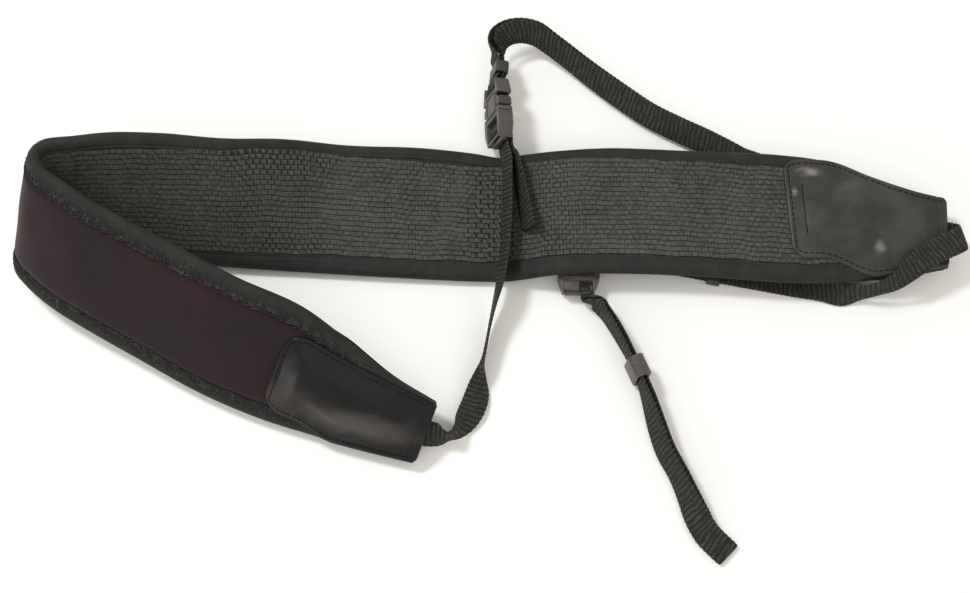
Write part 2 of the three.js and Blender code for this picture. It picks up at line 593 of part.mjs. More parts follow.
// A sleeve round the webbing, its middle at one station of the webbing's path.
function keeper(s, { width, length, wall, round, room }) {
  const ring = (halfWidth, halfThick, radius) => {
    const [w, t, r] = [halfWidth, halfThick, radius];
    return [[w - r, -t], [w, r - t], [w, t - r], [w - r, t], [r - w, t], [-w, t - r],
      [-w, r - t], [r - w, -t]];
  };
  const height = room + 2 * wall;
  const shape = new THREE.Shape(ring(width / 2, height / 2, round)
    .map(([x, y]) => new THREE.Vector2(x, y)));
  shape.holes.push(new THREE.Path(rectangle(width / 2 - wall, room / 2).reverse()
    .map(([x, y]) => new THREE.Vector2(x, y))));
  const sleeve = new THREE.ExtrudeGeometry(shape, { depth: length, bevelEnabled: false })
    .translate(0, 0, -length / 2);
  const across = s.across.clone().addScaledVector(s.along, -s.across.dot(s.along)).normalize();
  const face = s.along.clone().cross(across).normalize();
  const matrix = new THREE.Matrix4().makeBasis(across, face, s.along).setPosition(s.point);
  return sleeve.applyMatrix4(matrix);
}

// ---------------------------------------------------------------- the strap

const strap = new THREE.Group();

function add(name, geometry, finish) {
  const plain = mergeVertices(new THREE.BufferGeometry()
    .setAttribute('position', geometry.attributes.position.clone())
    .setIndex(geometry.index ?? [...geometry.attributes.position.array.keys()]
      .slice(0, geometry.attributes.position.count)), 1e-4);
  plain.computeVertexNormals();
  const mesh = new THREE.Mesh(plain, new THREE.MeshStandardMaterial(finish));
  mesh.name = name;
  strap.add(mesh);
}

const backBuckle = buckleFrame(BACK_BUCKLE);
const frontBuckle = buckleFrame(FRONT_BUCKLE);

const frontWebbing = fillIn([
  ...sewnEnd([PAD_LENGTH - POCKET_DEPTH, PAD_LENGTH - POCKET_DEPTH / 2, PAD_LENGTH]),
  ...FRONT_WEBBING_ROWS.map(station), ...threaded(backBuckle, 1),
  ...FRONT_TAIL_ROWS.map(station)], WEB_STRIDE);
const rightWebbing = fillIn([...sewnEnd([POCKET_DEPTH, POCKET_DEPTH / 2, 0]),
  ...RIGHT_WEBBING_ROWS.map(station), ...threaded(frontBuckle, -1),
  ...RIGHT_TAIL_ROWS.map(station)], WEB_STRIDE);
const backLoop = loopPath(backBuckle, BACK_LOOP_ROWS, 1, [0, 0]);
const frontLoop = loopPath(frontBuckle, FRONT_LOOP_ROWS, 1, BUNCH_SHIFTS);

add('pad_foam', cut(sweep(PAD, foamOutline), pocket(frontWebbing), pocket(rightWebbing)),
  NEOPRENE);
add('pad_lining', sweep(PAD, liningOutline), GRIP_MESH);
add('binding_lower', sweep(PAD, lowerBindingOutline), BLACK_TAPE);
add('binding_upper', sweep(PAD, upperBindingOutline), BLACK_TAPE);

const rightTab = between(PAD, 0, PATCH_LENGTH.right);
const frontTab = between(PAD, PAD_LENGTH - PATCH_LENGTH.front, PAD_LENGTH);
add('tab_right_inner', tabPatch(-1, rightTab, rightTab[rightTab.length - 1]), LEATHERETTE);
add('tab_right_outer', tabPatch(1, rightTab, rightTab[rightTab.length - 1]), LEATHERETTE);
add('tab_front_inner', tabPatch(-1, frontTab, frontTab[0]), LEATHERETTE);
add('tab_front_outer', tabPatch(1, frontTab, frontTab[0]), LEATHERETTE);

add('webbing_front', webbing(frontWebbing), WEBBING);
add('webbing_right', webbing(rightWebbing), WEBBING);
add('loop_back', loopStrap(backLoop, { extra: 0, amount: 0, swell: 0, length: 1, spread: 0.8 }), WEBBING);
add('loop_front', loopStrap(frontLoop, { extra: 0.3, amount: 0.58, swell: 0.5, length: 12, spread: 0 }),
  WEBBING);

add('buckle_back_latch', placed(latchBody(), backBuckle), PLASTIC);
add('buckle_back_socket', placed(socketBody(), backBuckle), PLASTIC);
add('buckle_front_latch', placed(latchBody(), frontBuckle), PLASTIC);
add('buckle_front_socket', placed(socketBody(), frontBuckle), PLASTIC);

const nearest = (path, x, y) => path.reduce((best, s) => (
  Math.hypot(s.point.x - x, s.point.y - y) < Math.hypot(best.point.x - x, best.point.y - y)
    ? s : best));
add('keeper_back', keeper(nearest(backLoop, 5.7, 94.4), KEEPER), PLASTIC);
add('keeper_front', keeper(nearest(frontLoop, 57.9, -33.4), LONG_KEEPER), PLASTIC);
add('keeper_right', keeper(nearest(rightWebbing, 90.8, 10.2), SINGLE_KEEPER), PLASTIC);

const extent = new THREE.Box3().setFromObject(strap);
const middle = extent.getCenter(vec(0, 0, 0));
strap.position.set(-middle.x, -middle.y, -extent.min.z);
strap.updateMatrixWorld(true);

export default strap;
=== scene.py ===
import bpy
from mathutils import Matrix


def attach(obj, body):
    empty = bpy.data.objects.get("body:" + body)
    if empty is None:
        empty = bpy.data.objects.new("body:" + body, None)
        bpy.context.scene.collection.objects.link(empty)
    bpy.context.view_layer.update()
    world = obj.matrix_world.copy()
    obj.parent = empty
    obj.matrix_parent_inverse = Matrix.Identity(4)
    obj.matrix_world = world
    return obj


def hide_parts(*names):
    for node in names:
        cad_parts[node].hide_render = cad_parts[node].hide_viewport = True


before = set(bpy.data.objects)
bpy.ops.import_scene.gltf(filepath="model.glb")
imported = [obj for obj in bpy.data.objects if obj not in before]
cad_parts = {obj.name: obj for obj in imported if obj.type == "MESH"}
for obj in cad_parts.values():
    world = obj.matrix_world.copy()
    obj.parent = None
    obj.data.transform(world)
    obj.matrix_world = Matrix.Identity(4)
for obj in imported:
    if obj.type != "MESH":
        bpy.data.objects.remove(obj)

"""A padded neck strap for binoculars, lying doubled over, dressed around its solids.

The tables give the strap as it lies, in millimetres; `to_frame` moves them to the frame.
Each sub-assembly is a class that builds its own meshes and dresses them with its finishes.
"""

import logging
import math
from dataclasses import dataclass, field
from enum import Enum
from typing import Callable, Sequence

import bmesh
import bpy
import numpy as np
from mathutils import Matrix, Vector

Array = np.ndarray
Piece = bpy.types.Object
Socket = bpy.types.NodeSocket

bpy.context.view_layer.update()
BODY = "root"
LOG = logging.getLogger("strap")

MM = 0.001
LAYOUT_MIDDLE = np.array([1.88, 5.80, 0.0])  # the footprint's middle in the tables' millimetres
WEB_WIDTH = 10.0
WEB_THICK = 1.2
WEB_STEP = 0.34  # between the rings of webbing
LAYER_GAP = 0.3  # between the layers of a doubled strap
POCKET_DEPTH = 9.0  # webbing sewn into a tab
TAB_REACH = {"right": 63.0, "front": 62.0}
TAB_START = 0.2  # from the band's end to the tab's
PLEAT = 5.2  # from one small fold to the next where the band is pinched
BAR_STATIONS = (26.1, 28.6)  # along a buckle: a loop's fold round the bar, and just off it
BAR_ROOM = (1.65, 1.0, 3.8)  # half the loop's opening there, and where it narrows and has closed
BUNCH_SHIFTS = (-3.0, -3.9)  # along the front buckle's bar
SPREAD_OPENS = (10, 16)  # where a loop's layers part round its bend
SPREAD_CLOSES = (26, 50)  # and where they close again


def to_frame(points: Array) -> Array:
    """Turns layout millimetres into metres in the frame."""
    return (np.asarray(points) - LAYOUT_MIDDLE) * MM


def direction(bearing: float, lean: float) -> Array:
    """Gives a unit vector from a bearing round from +X and a lean above level, in degrees."""
    b, l = math.radians(bearing), math.radians(lean)
    return np.array([math.cos(l) * math.cos(b), math.cos(l) * math.sin(b), math.sin(l)])


def smoothstep(value: Array, low: float, high: float) -> Array:
    """Rises smoothly from 0 at `low` to 1 at `high`."""
    t = np.clip((np.asarray(value, dtype=float) - low) / (high - low), 0.0, 1.0)
    return t * t * (3.0 - 2.0 * t)


def hump(value: Array, middle: float, spread: float) -> Array:
    """A soft hump of height 1 about `middle`."""
    return np.exp(-(((np.asarray(value, dtype=float) - middle) / spread) ** 2))


def unit(vectors: Array) -> Array:
    """Scales vectors in the last axis to length 1."""
    return vectors / np.linalg.norm(vectors, axis=-1, keepdims=True)


# ---------------------------------------------------------------- tables


@dataclass(frozen=True)
class Row:
    """One section: a point, and the bearing and lean of the way its width points."""

    x: float
    y: float
    z: float
    bearing: float
    lean: float
    width: float = WEB_WIDTH
    half: float = WEB_THICK / 2


def table(*rows: tuple[float, ...]) -> list[Row]:
    """Makes sections from rows of numbers in the order of a Row's fields."""
    return [Row(*values) for values in rows]


PAD_ROWS = table(
    (180.6, 8.4, 8.8, 87, 3, 28.5, 1.6), (169, 6.2, 9.4, 89, 2, 33.5, 2.1),
    (154, 3.6, 9.8, 91, 1, 42, 2.4), (138, 2.2, 10, 92, 0, 51.2, 2.5),
    (120, 2.0, 10, 92, 0, 54.4, 2.5), (84, 4.6, 10.2, 92, 0, 53.5, 2.5),
    (52, 5.8, 10.4, 92, 0, 53.5, 2.5), (29, 5.4, 10.2, 91, 0, 52.6, 2.5),
    (18, 5.3, 6.4, 91, 0, 53.1, 2.5), (8, 5.2, 3.1, 91, 0, 53.2, 2.5),
    (-4, 5.4, 2.7, 91, 1, 54.8, 2.5), (-24, 6.3, 2.7, 92, 5, 54.8, 2.5),
    (-60, 8.4, 2.7, 92, 11, 52.8, 2.5), (-95, 11, 2.4, 91, 36, 51.6, 2.5),
    (-125, 14, 2.0, 87, 45, 53.2, 2.5), (-148, 16.5, 2.0, 79, 51, 53.8, 2.5),
    (-164, 17.8, 2.4, 71, 54, 53.2, 2.5), (-177, 17.4, 3.2, 66, 56, 53.2, 2.5),
    (-182, 14, 4.6, 60, 56, 53.2, 2.5), (-182, 8, 6.5, 57, 54.5, 53.2, 2.5),
    (-176.5, 1, 8.0, 55, 51.5, 53.2, 2.5), (-166.5, -7.4, 8.0, 55, 49, 53, 2.5),
    (-153.5, -15.4, 7.0, 56, 48, 53, 2.5), (-133.5, -26.5, 5.5, 58, 47, 53, 2.5),
    (-108, -40.4, 4.0, 60, 46, 53, 2.5), (-86, -49.8, 3.2, 61, 43, 51, 2.5),
    (-66, -56.4, 3.0, 63, 36, 41, 2.4), (-46, -62.4, 3.0, 65, 30, 31, 2.1),
    (-26, -67.8, 3.2, 67, 25, 24.5, 1.6),
)
FRONT_WEBBING_ROWS = table(
    (-18.6, -58.0, 7.7, 70, 42), (-16.0, -58.6, 6.8, 74, 68), (-13.4, -58.1, 6.2, 85, 86),
    (-10.4, -56.2, 5.6, 130, 70), (-7.2, -51.4, 4.7, 150, 36), (-4.5, -45.8, 3.6, 155, 15),
    (-2.6, -39.9, 4.0, 162, 32), (-1.7, -34.6, 5.3, 170, 62), (-0.8, -28.5, 5.7, 172, 88),
    (0.4, -22.2, 6.0, -10, 88), (1.9, -14.2, 7.0, -12, 85), (3.5, -7.4, 9.0, -12, 80),
    (5.0, -1.8, 10.8, -14, 74), (6.2, 4.0, 11.4, -12, 70), (8.3, 24.0, 11.4, -5, 68),
    (8.7, 41.0, 11.8, 0, 68), (8.7, 53.3, 12.8, 2, 69),
)
FRONT_TAIL_ROWS = table(
    (11.7, 54.2, 13.0, 2, 74), (13.0, 48.1, 13.0, 0, 72), (14.4, 40.1, 12.9, -4, 68),
    (15.9, 31.8, 12.9, -6, 64), (17.2, 23.6, 12.9, -8, 60),
)
RIGHT_WEBBING_ROWS = table(
    (184.6, 22.0, 10.1, -84, -4), (186.6, 20.6, 12.2, -76, -5), (185.0, 18.6, 14.4, -70, -5),
    (180.6, 16.2, 15.2, -66, -4), (175, 13.6, 15.4, -64, -6), (169.4, 10.2, 15.5, -62, -14),
    (164, 6.0, 14.8, -64, -34), (159, 2.2, 12.2, -70, -58), (153.5, 0.4, 9.0, -80, -74),
    (147, -0.6, 6.2, -86, -74), (140, -0.4, 3.9, -92, -42), (132, 2.6, 2.0, -98, -14),
    (122, 4.4, 0.95, -100, 0), (110, 6.8, 0.9, -100, 0), (97.5, 8.9, 1.8, -101, 0),
    (84, 11.6, 1.8, -102, 0), (72, 14.6, 0.9, -112, 0), (63.6, 19.2, 0.7, -138, 0),
    (60, 27, 0.8, 180, 0), (60, 36.5, 1.7, 180, 0), (55.4, 43.4, 2.5, 218, 0),
    (47.8, 46.2, 3.0, 270, 0), (41, 43.4, 3.2, -46, 0), (38.8, 36.4, 3.0, -10, 0),
)
RIGHT_TAIL_ROWS = table(
    (38.1, 31.6, 0.8, -3, 0), (38.4, 36.4, 0.65, -3, 0), (38.6, 41.2, 0.65, -3, 0),
)
BACK_LOOP_ROWS = table(
    (5.4, 91.2, 10.8, 2, 74), (5.8, 96.4, 10.6, 1, 76), (4.9, 101.2, 10.8, -5, 80),
    (4.6, 104.6, 11.5, 156, 66), (5.7, 108.2, 12.4, 140, 55), (9.3, 111.1, 12.5, 118, 51),
    (14.9, 112.52, 11.9, 90, 49), (21.2, 111.8, 10.5, 66, 53), (27.0, 108.2, 9.0, 55, 59),
    (35.2, 102.0, 7.4, 50, 59), (44.4, 94.6, 6.0, 48, 54), (57.0, 84.8, 5.0, 50, 44),
    (67.2, 77.2, 4.8, 56, 42), (79.0, 70.6, 4.7, 63, 40), (90.4, 65.2, 4.0, 66, 30),
    (98, 61.4, 2.8, 67, 14), (104, 58.8, 1.5, 68, 0), (107.3, 57.5, 1.5, 68, 0),
    (110.6, 56.2, 1.5, 68, 0),
)
FRONT_LOOP_ROWS = table(
    (43.6, -4.6, 5.4, 22, 70), (46.2, -8.0, 5.8, 26, 80), (50.0, -14.4, 6.3, 26, 82),
    (53.3, -20.9, 6.5, 26, 84), (56.6, -28.2, 6.7, 26, 87), (59.8, -36.0, 6.7, 26, 84),
    (62.6, -45.2, 5.9, 21, 73), (65.0, -54.4, 5.3, 17, 63), (67.8, -63.4, 5.2, 22, 61),
    (72.0, -72.0, 5.2, 27, 62), (75.2, -79.8, 5.0, 20, 54), (78.2, -87.4, 4.1, 25, 34),
    (81.6, -93.4, 2.0, 38, 8), (84.6, -96.8, 1.5, 45, 0), (86.8, -99.0, 1.5, 45, 0),
    (89.0, -101.2, 1.5, 45, 0),
)
# Webbing threaded through the latch: pairs of length and through in the buckle's frame.
LADDER_THREAD = [
    (-1.2, -1.6), (1.6, -1.6), (2.6, -1.3), (3.6, 0), (4.6, 1.3), (5.6, 1.6), (6.8, 1.6),
    (8.3, 1.0), (8.9, -0.6), (8.3, -2.2), (6.6, -3.2), (4, -3.5), (0.6, -3.5), (-2.6, -3.6),
]


# ---------------------------------------------------------------- paths


@dataclass
class Knots:
    """The stations that a path goes through, before it is filled in."""

    point: list[Array] = field(default_factory=list)
    across: list[Array] = field(default_factory=list)
    size: list[tuple[float, float]] = field(default_factory=list)

    def add(self, point: Array, across: Array,
            size: tuple[float, float] = (WEB_WIDTH, WEB_THICK / 2)) -> "Knots":
        """Adds one station.

        Args:
            point: Its place in layout millimetres.
            across: The way its width points.
            size: Its width and half thickness.

        Returns:
            These knots.
        """
        self.point.append(np.asarray(point, dtype=float))
        self.across.append(np.asarray(across, dtype=float))
        self.size.append(size)
        return self

    def rows(self, rows: Sequence[Row]) -> "Knots":
        """Adds a table's rows and returns these knots."""
        for r in rows:
            self.add(np.array([r.x, r.y, r.z]), direction(r.bearing, r.lean), (r.width, r.half))
        return self


def curve_through(values: Array, knots: Array, steps: Sequence[int]) -> Array:
    """Fills in a smooth curve through unevenly spaced values.

    Args:
        values: One row for each knot.
        knots: The parameter of each value.
        steps: How many stations each span gets.

    Returns:
        The stations' values, the last one included.
    """
    spans = np.diff(knots)[:, None]
    chords = np.diff(values, axis=0) / spans
    slopes = np.empty_like(values)
    slopes[0], slopes[-1] = chords[0], chords[-1]
    wide = (values[2:] - values[:-2]) / (spans[:-1] + spans[1:])
    slopes[1:-1] = chords[:-1] - wide + chords[1:]
    out = []
    for i, count in enumerate(steps):
        s = (np.arange(count) / count)[:, None]
        out.append(values[i] * (2 * s**3 - 3 * s**2 + 1)
                   + slopes[i] * (s**3 - 2 * s**2 + s) * spans[i]
                   + values[i + 1] * (3 * s**2 - 2 * s**3)
                   + slopes[i + 1] * (s**3 - s**2) * spans[i])
    out.append(values[-1:])
    return np.concatenate(out)


class Path:
    """Dense stations along a band, each with its heading, width and face directions."""

    def __init__(self, point: Array, across: Array, size: Array,
                 middle: bool) -> None:
        """Works out headings and distances.

        Args:
            point: The stations' places; the edge of a band or the middle of webbing.
            across: The way the width points.
            size: Width and half thickness.
            middle: Whether distance is measured half a width in from the points.
        """
        self.point, self.across, self.size = point, unit(across), size
        line = point + self.across * size[:, :1] / 2 if middle else point
        step = np.linalg.norm(np.diff(line, axis=0), axis=1)
        self.distance = np.concatenate([[0.0], np.cumsum(step)])
        ends = np.concatenate([line[:1], line, line[-1:]])
        self.along = unit(ends[2:] - ends[:-2])
        self.face = unit(np.cross(self.along, self.across))
        self.line = line

    @classmethod
    def through(cls, knots: Knots, stride: float = 0.5, middle: bool = False) -> "Path":
        """Fills in a path.

        Args:
            knots: The stations it goes through.
            stride: About how far apart its stations are.
            middle: As for the path itself.

        Returns:
            The path.
        """
        points, across = np.array(knots.point), np.array(knots.across)
        chord = np.linalg.norm(np.diff(points, axis=0), axis=1)
        places = np.concatenate([[0.0], np.cumsum(np.sqrt(chord))])
        steps = [max(2, round(c / stride)) for c in chord]
        values = np.hstack([points, across, np.array(knots.size)])
        filled = curve_through(values, places, steps)
        return cls(filled[:, :3], filled[:, 3:6], filled[:, 6:], middle)

    @property
    def length(self) -> float:
        """The whole distance along."""
        return float(self.distance[-1])

    def take(self, values: Array, where: Array) -> Array:
        """Reads station values at distances along.

        Args:
            values: One row for each station.
            where: Distances, of any shape.

        Returns:
            The values, with one more axis than `where`.
        """
        flat = np.ravel(where)
        read = np.stack([np.interp(flat, self.distance, column) for column in values.T], axis=1)
        return read.reshape(*np.shape(where), values.shape[1])

    def width(self, where: Array) -> Array:
        """The width at distances along."""
        return self.take(self.size[:, :1], where)[..., 0]

    def half(self, where: Array) -> Array:
        """The half thickness at distances along."""
        return self.take(self.size[:, 1:], where)[..., 0]

    def place(self, where: Array, across: Array, face: Array) -> Array:
        """Puts points on the band.

        Args:
            where: Distances along.
            across: Distances across, from the path's points.
            face: Heights above the path's points.

        Returns:
            Places in the frame, in metres.
        """
        where, across, face = np.broadcast_arrays(where, across, face)
        point = (self.take(self.point, where)
                 + unit(self.take(self.across, where)) * across[..., None]
                 + unit(self.take(self.face, where)) * face[..., None])
        return to_frame(point)

    def axes(self, where: Array) -> tuple[Array, Array, Array]:
        """The along, across and face directions at distances along."""
        return (unit(self.take(self.along, where)), unit(self.take(self.across, where)),
                unit(self.take(self.face, where)))

    def nearest(self, x: float, y: float) -> float:
        """The distance along at which the path passes closest to a place in plan."""
        return float(self.distance[np.argmin(np.hypot(self.line[:, 0] - x,
                                                      self.line[:, 1] - y))])


PAD = Path.through(Knots().rows(PAD_ROWS), 1.0, middle=True)
PINCH = PAD.nearest(4, 32)  # where the webbing pinches the band


def ripples(seed: int, count: int, low: float, high: float) -> Callable:
    """A gentle repeatable unevenness over a surface.

    Args:
        seed: Picks the waves.
        count: How many waves are summed.
        low: The shortest wave, in millimetres.
        high: The longest wave.

    Returns:
        A function of two coordinates that gives values of about -1 to 1.
    """
    rng = np.random.default_rng(seed)
    size = rng.uniform(low, high, count)
    angle = rng.uniform(0, 2 * math.pi, count)
    phase = rng.uniform(0, 2 * math.pi, count)

    def height(u: Array, v: Array) -> Array:
        """The unevenness at a place."""
        total = 0.0
        for s, a, p in zip(size, angle, phase):
            total = total + np.sin(2 * math.pi / s * (u * math.cos(a) + v * math.sin(a)) + p)
        return total / math.sqrt(count)

    return height


# ---------------------------------------------------------------- meshes


def new_object(name: str, mesh: bpy.types.Mesh) -> Piece:
    """Links a mesh to the scene as an object of that name."""
    made = bpy.data.objects.new(name, mesh)
    bpy.context.scene.collection.objects.link(made)
    return made


def soften(mesh: bpy.types.Mesh, crisp: float) -> None:
    """Shades a mesh smoothly, but for edges that bend more than `crisp` degrees."""
    mesh.polygons.foreach_set("use_smooth", [True] * len(mesh.polygons))
    mesh.set_sharp_from_angle(angle=math.radians(crisp))


def evaluated(piece: Piece) -> bpy.types.Mesh:
    """A plain mesh of a piece as its modifiers leave it."""
    ready = piece.evaluated_get(bpy.context.evaluated_depsgraph_get())
    return bpy.data.meshes.new_from_object(ready)


def mesh_of(name: str, points: Array, faces: Sequence[Sequence[int]],
            uvs: Array) -> Piece:
    """Makes a smooth-shaded mesh object with its faces outwards.

    Args:
        name: The object's name.
        points: Vertex places in metres.
        faces: Vertex numbers of each face.
        uvs: One pair for each face corner, in order, in millimetres along and across.

    Returns:
        The object.
    """
    mesh = bpy.data.meshes.new(name)
    mesh.from_pydata(points.tolist(), [], faces)
    layer = mesh.uv_layers.new(name="run")
    layer.data.foreach_set("uv", uvs.astype(np.float32).ravel())
    soften(mesh, 50.0)
    mesh.update()
    work = bmesh.new()
    work.from_mesh(mesh)
    bmesh.ops.recalc_face_normals(work, faces=work.faces)
    work.to_mesh(mesh)
    work.free()
    return new_object(name, mesh)


def tube(name: str, rings: Array, uv: Array, endless: bool = False) -> Piece:
    """A closed body from rings of points.

    Args:
        name: The object's name.
        rings: Places, ring by ring.
        uv: Along and across at each point, with one more column than the rings have.
        endless: Whether the last ring joins the first; `uv` then has one more row too.

    Returns:
        The object.
    """
    count, size = rings.shape[:2]
    spans = count if endless else count - 1
    faces, corners = [], []
    for i in range(spans):
        here, there = i * size, ((i + 1) % count) * size
        for j in range(size):
            k = (j + 1) % size
            faces.append((here + j, here + k, there + k, there + j))
            corners += [uv[i, j], uv[i, j + 1], uv[i + 1, j + 1], uv[i + 1, j]]
    points = rings.reshape(-1, 3)
    if not endless:
        middles = rings[[0, -1]].mean(axis=1)
        points = np.concatenate([points, middles])
        for end, (start, at) in enumerate(((0, 0), ((count - 1) * size, count - 1))):
            hub = count * size + end
            for j in range(size):
                k = (j + 1) % size
                faces.append((start + j, hub, start + k))
                corners += [uv[at, j], uv[at, j], uv[at, j + 1]]
    return mesh_of(name, points, faces, np.array(corners))


def run_at(where: Array, line: Array) -> Array:
    """Joins distances along with those round a section, for a tube's `uv`."""
    return np.stack(np.broadcast_arrays(where, line), axis=-1)


def round_trip(out: Array, back: Array) -> Array:
    """Goes across a section on one face and returns on the other."""
    return np.concatenate([out, back[:, ::-1]], axis=1)


def sheet(name: str, where: Array, across: Array, one: Array,
          other: Array) -> Piece:
    """A closed flat body on the padded band.

    Args:
        name: The object's name.
        where: Distances along the band, as a column.
        across: Distances from its lower edge, a row for each of them.
        one: The height of its first face.
        other: The height of its other face.

    Returns:
        The object.
    """
    rings = round_trip(PAD.place(where, across, one), PAD.place(where, across, other))
    line = np.concatenate([round_trip(across, across), across[:, :1]], axis=1)
    return tube(name, rings, run_at(where, line))


# ---------------------------------------------------------------- shader maths


class Signal:
    """A shader socket that takes part in Python expressions on numbers."""

    def __init__(self, shader: "Shader", socket: Socket) -> None:
        """Wraps a socket of a shader."""
        self.shader, self.socket = shader, socket

    def _with(self, operation: str, *values: object) -> "Signal":
        """Adds one Math node."""
        return self.shader.make("ShaderNodeMath", dict(enumerate(values)), operation=operation)

    def __add__(self, other: object) -> "Signal":
        """Adds."""
        return self._with("ADD", self, other)

    __radd__ = __add__

    def __mul__(self, other: object) -> "Signal":
        """Multiplies."""
        return self._with("MULTIPLY", self, other)

    __rmul__ = __mul__

    def __sub__(self, other: object) -> "Signal":
        """Subtracts."""
        return self._with("SUBTRACT", self, other)

    def __rsub__(self, other: object) -> "Signal":
        """Is subtracted."""
        return self._with("SUBTRACT", other, self)

    def __truediv__(self, other: object) -> "Signal":
        """Divides."""
        return self._with("DIVIDE", self, other)

    def __mod__(self, other: object) -> "Signal":
        """Wraps to the range from 0."""
        return self._with("FLOORED_MODULO", self, other)

    def wave(self, pitch: float) -> "Signal":
        """A wave of that pitch, 0 at the origin and 1 half a pitch on."""
        turn = self * (2 * math.pi / pitch)
        return 0.5 - self._with("COSINE", turn) * 0.5

    def size(self) -> "Signal":
        """Drops the sign."""
        return self._with("ABSOLUTE", self)

    def floor(self) -> "Signal":
        """Rounds down."""
        return self._with("FLOOR", self)

    def power(self, exponent: float) -> "Signal":
        """Raises to a power."""
        return self._with("POWER", self, exponent)

    def rise(self, low: float, high: float) -> "Signal":
        """Goes smoothly from 0 at `low` to 1 at `high`."""
        return self.shader.make("ShaderNodeMapRange", {0: self, 1: low, 2: high},
                                interpolation_type="SMOOTHSTEP")


class Shader:
    """One material's node tree, round a Principled BSDF."""

    def __init__(self, name: str) -> None:
        """Starts a material of that name."""
        self.material = bpy.data.materials.new(name)
        self.material.use_nodes = True
        self.tree = self.material.node_tree
        self.surface = self.tree.nodes["Principled BSDF"]

    def make(self, kind: str, inputs: dict[object, object] | None = None,
             output: object = 0, **settings: object) -> Signal:
        """Adds one node.

        Args:
            kind: The node's type.
            inputs: Values or signals by socket name or number.
            output: The output that is wanted, by name or number.
            **settings: The node's properties, set first.

        Returns:
            That output.
        """
        node = self.tree.nodes.new(kind)
        for key, value in settings.items():
            setattr(node, key, value)
        for key, value in (inputs or {}).items():
            self.feed(node.inputs[key], value)
        return Signal(self, node.outputs[output])

    def feed(self, socket: Socket, value: object) -> None:
        """Links a signal to a socket, or sets its value."""
        if isinstance(value, Signal):
            self.tree.links.new(value.socket, socket)
        else:
            socket.default_value = value

    def run(self) -> tuple[Signal, Signal]:
        """The piece's own distances along and across, in millimetres."""
        uv = self.make("ShaderNodeUVMap", uv_map="run")
        node = self.make("ShaderNodeSeparateXYZ", {0: uv}).socket.node
        return Signal(self, node.outputs[0]), Signal(self, node.outputs[1])

    def noise(self, size: float, detail: float = 2.0, stretch: tuple = (1, 1, 1)) -> Signal:
        """Noise over the object.

        Args:
            size: The size of its cells, in metres.
            detail: Its octaves.
            stretch: How much faster it changes along each axis.

        Returns:
            A value of about 0 to 1.
        """
        place = self.make("ShaderNodeTexCoord", output="Object")
        moved = self.make("ShaderNodeMapping", {0: place, "Scale": stretch})
        return self.make("ShaderNodeTexNoise", {"Vector": moved, "Scale": 1 / size,
                                                "Detail": detail})

    def mix(self, factor: object, first: object, second: object) -> Signal:
        """Blends two colours."""
        return self.make("ShaderNodeMix", {0: factor, 6: first, 7: second}, 2, data_type="RGBA")

    def bump(self, height: Signal, distance: float, strength: float = 1.0) -> None:
        """Roughens the surface by a height of 0 to 1 times a distance in metres."""
        normal = self.make("ShaderNodeBump", {"Height": height, "Distance": distance,
                                              "Strength": strength})
        self.feed(self.surface.inputs["Normal"], normal)

    def set(self, **values: object) -> None:
        """Sets the shader's own sockets, with _ for a space in their names."""
        for key, value in values.items():
            self.feed(self.surface.inputs[key.replace("_", " ")], value)

    def tint(self, share: Signal, dark: tuple, light: tuple, **values: object) -> None:
        """Sets the colour to a blend of two display colours, and other sockets."""
        self.set(Base_Color=self.mix(share, shade(*dark), shade(*light)), **values)


def painted_pleat_shade(along: Signal) -> Signal:
    """Falls from 1 in dark bands of painted shade in the pleats where the band is pinched."""
    away = along - PINCH
    near = 1 - away.size().rise(5.0, 17.0)
    return 1 - near * (away.wave(PLEAT) * 0.55 + 0.25)


def shade(red: float, green: float, blue: float) -> tuple[float, float, float, float]:
    """A colour for a socket from display values of 0 to 255."""
    def linear(value: float) -> float:
        """One channel."""
        v = value / 255
        return v / 12.92 if v <= 0.04045 else ((v + 0.055) / 1.055) ** 2.4
    return linear(red), linear(green), linear(blue), 1.0


@dataclass(frozen=True)
class Finish:
    """A finish: its material's name, a slot's name and how its shader is built."""

    name: str
    slot: str
    roughness: float

    def dress(self, shader: Shader) -> None:
        """Builds the shader's nodes."""
        raise NotImplementedError

    def material(self) -> bpy.types.Material:
        """The finish's material, made once."""
        known = bpy.data.materials.get(self.name)
        if known:
            return known
        shader = Shader(self.name)
        shader.set(Roughness=self.roughness)
        self.dress(shader)
        return shader.material

    def on(self, piece: Piece) -> Piece:
        """Gives a piece this finish and returns the piece."""
        piece.data.materials.clear()
        piece.data.materials.append(self.material())
        return piece


@dataclass(frozen=True)
class NeopreneFinish(Finish):
    """Matt knitted face of neoprene, wine and charcoal where it has worn."""

    wine: tuple = (41, 26, 29)
    charcoal: tuple = (29, 26, 27)

    def dress(self, shader: Shader) -> None:
        """Cloudy colour under a fine knit."""
        cloud = shader.noise(0.045, 3.0).rise(0.35, 0.62)
        fine = shader.noise(0.0006, 2.0)
        base = shader.mix(cloud, shade(*self.charcoal), shade(*self.wine))
        speck = shader.mix(fine.rise(0.3, 0.75) * 0.3, base, shade(54, 42, 45))
        along, across = shader.run()
        knit = along.wave(0.7) * across.wave(0.9)
        shader.set(Base_Color=speck, Sheen_Weight=0.16, Sheen_Roughness=0.45,
                   Specular_IOR_Level=0.12)
        shader.bump(knit * 0.5 + fine, 0.00012, 0.6)


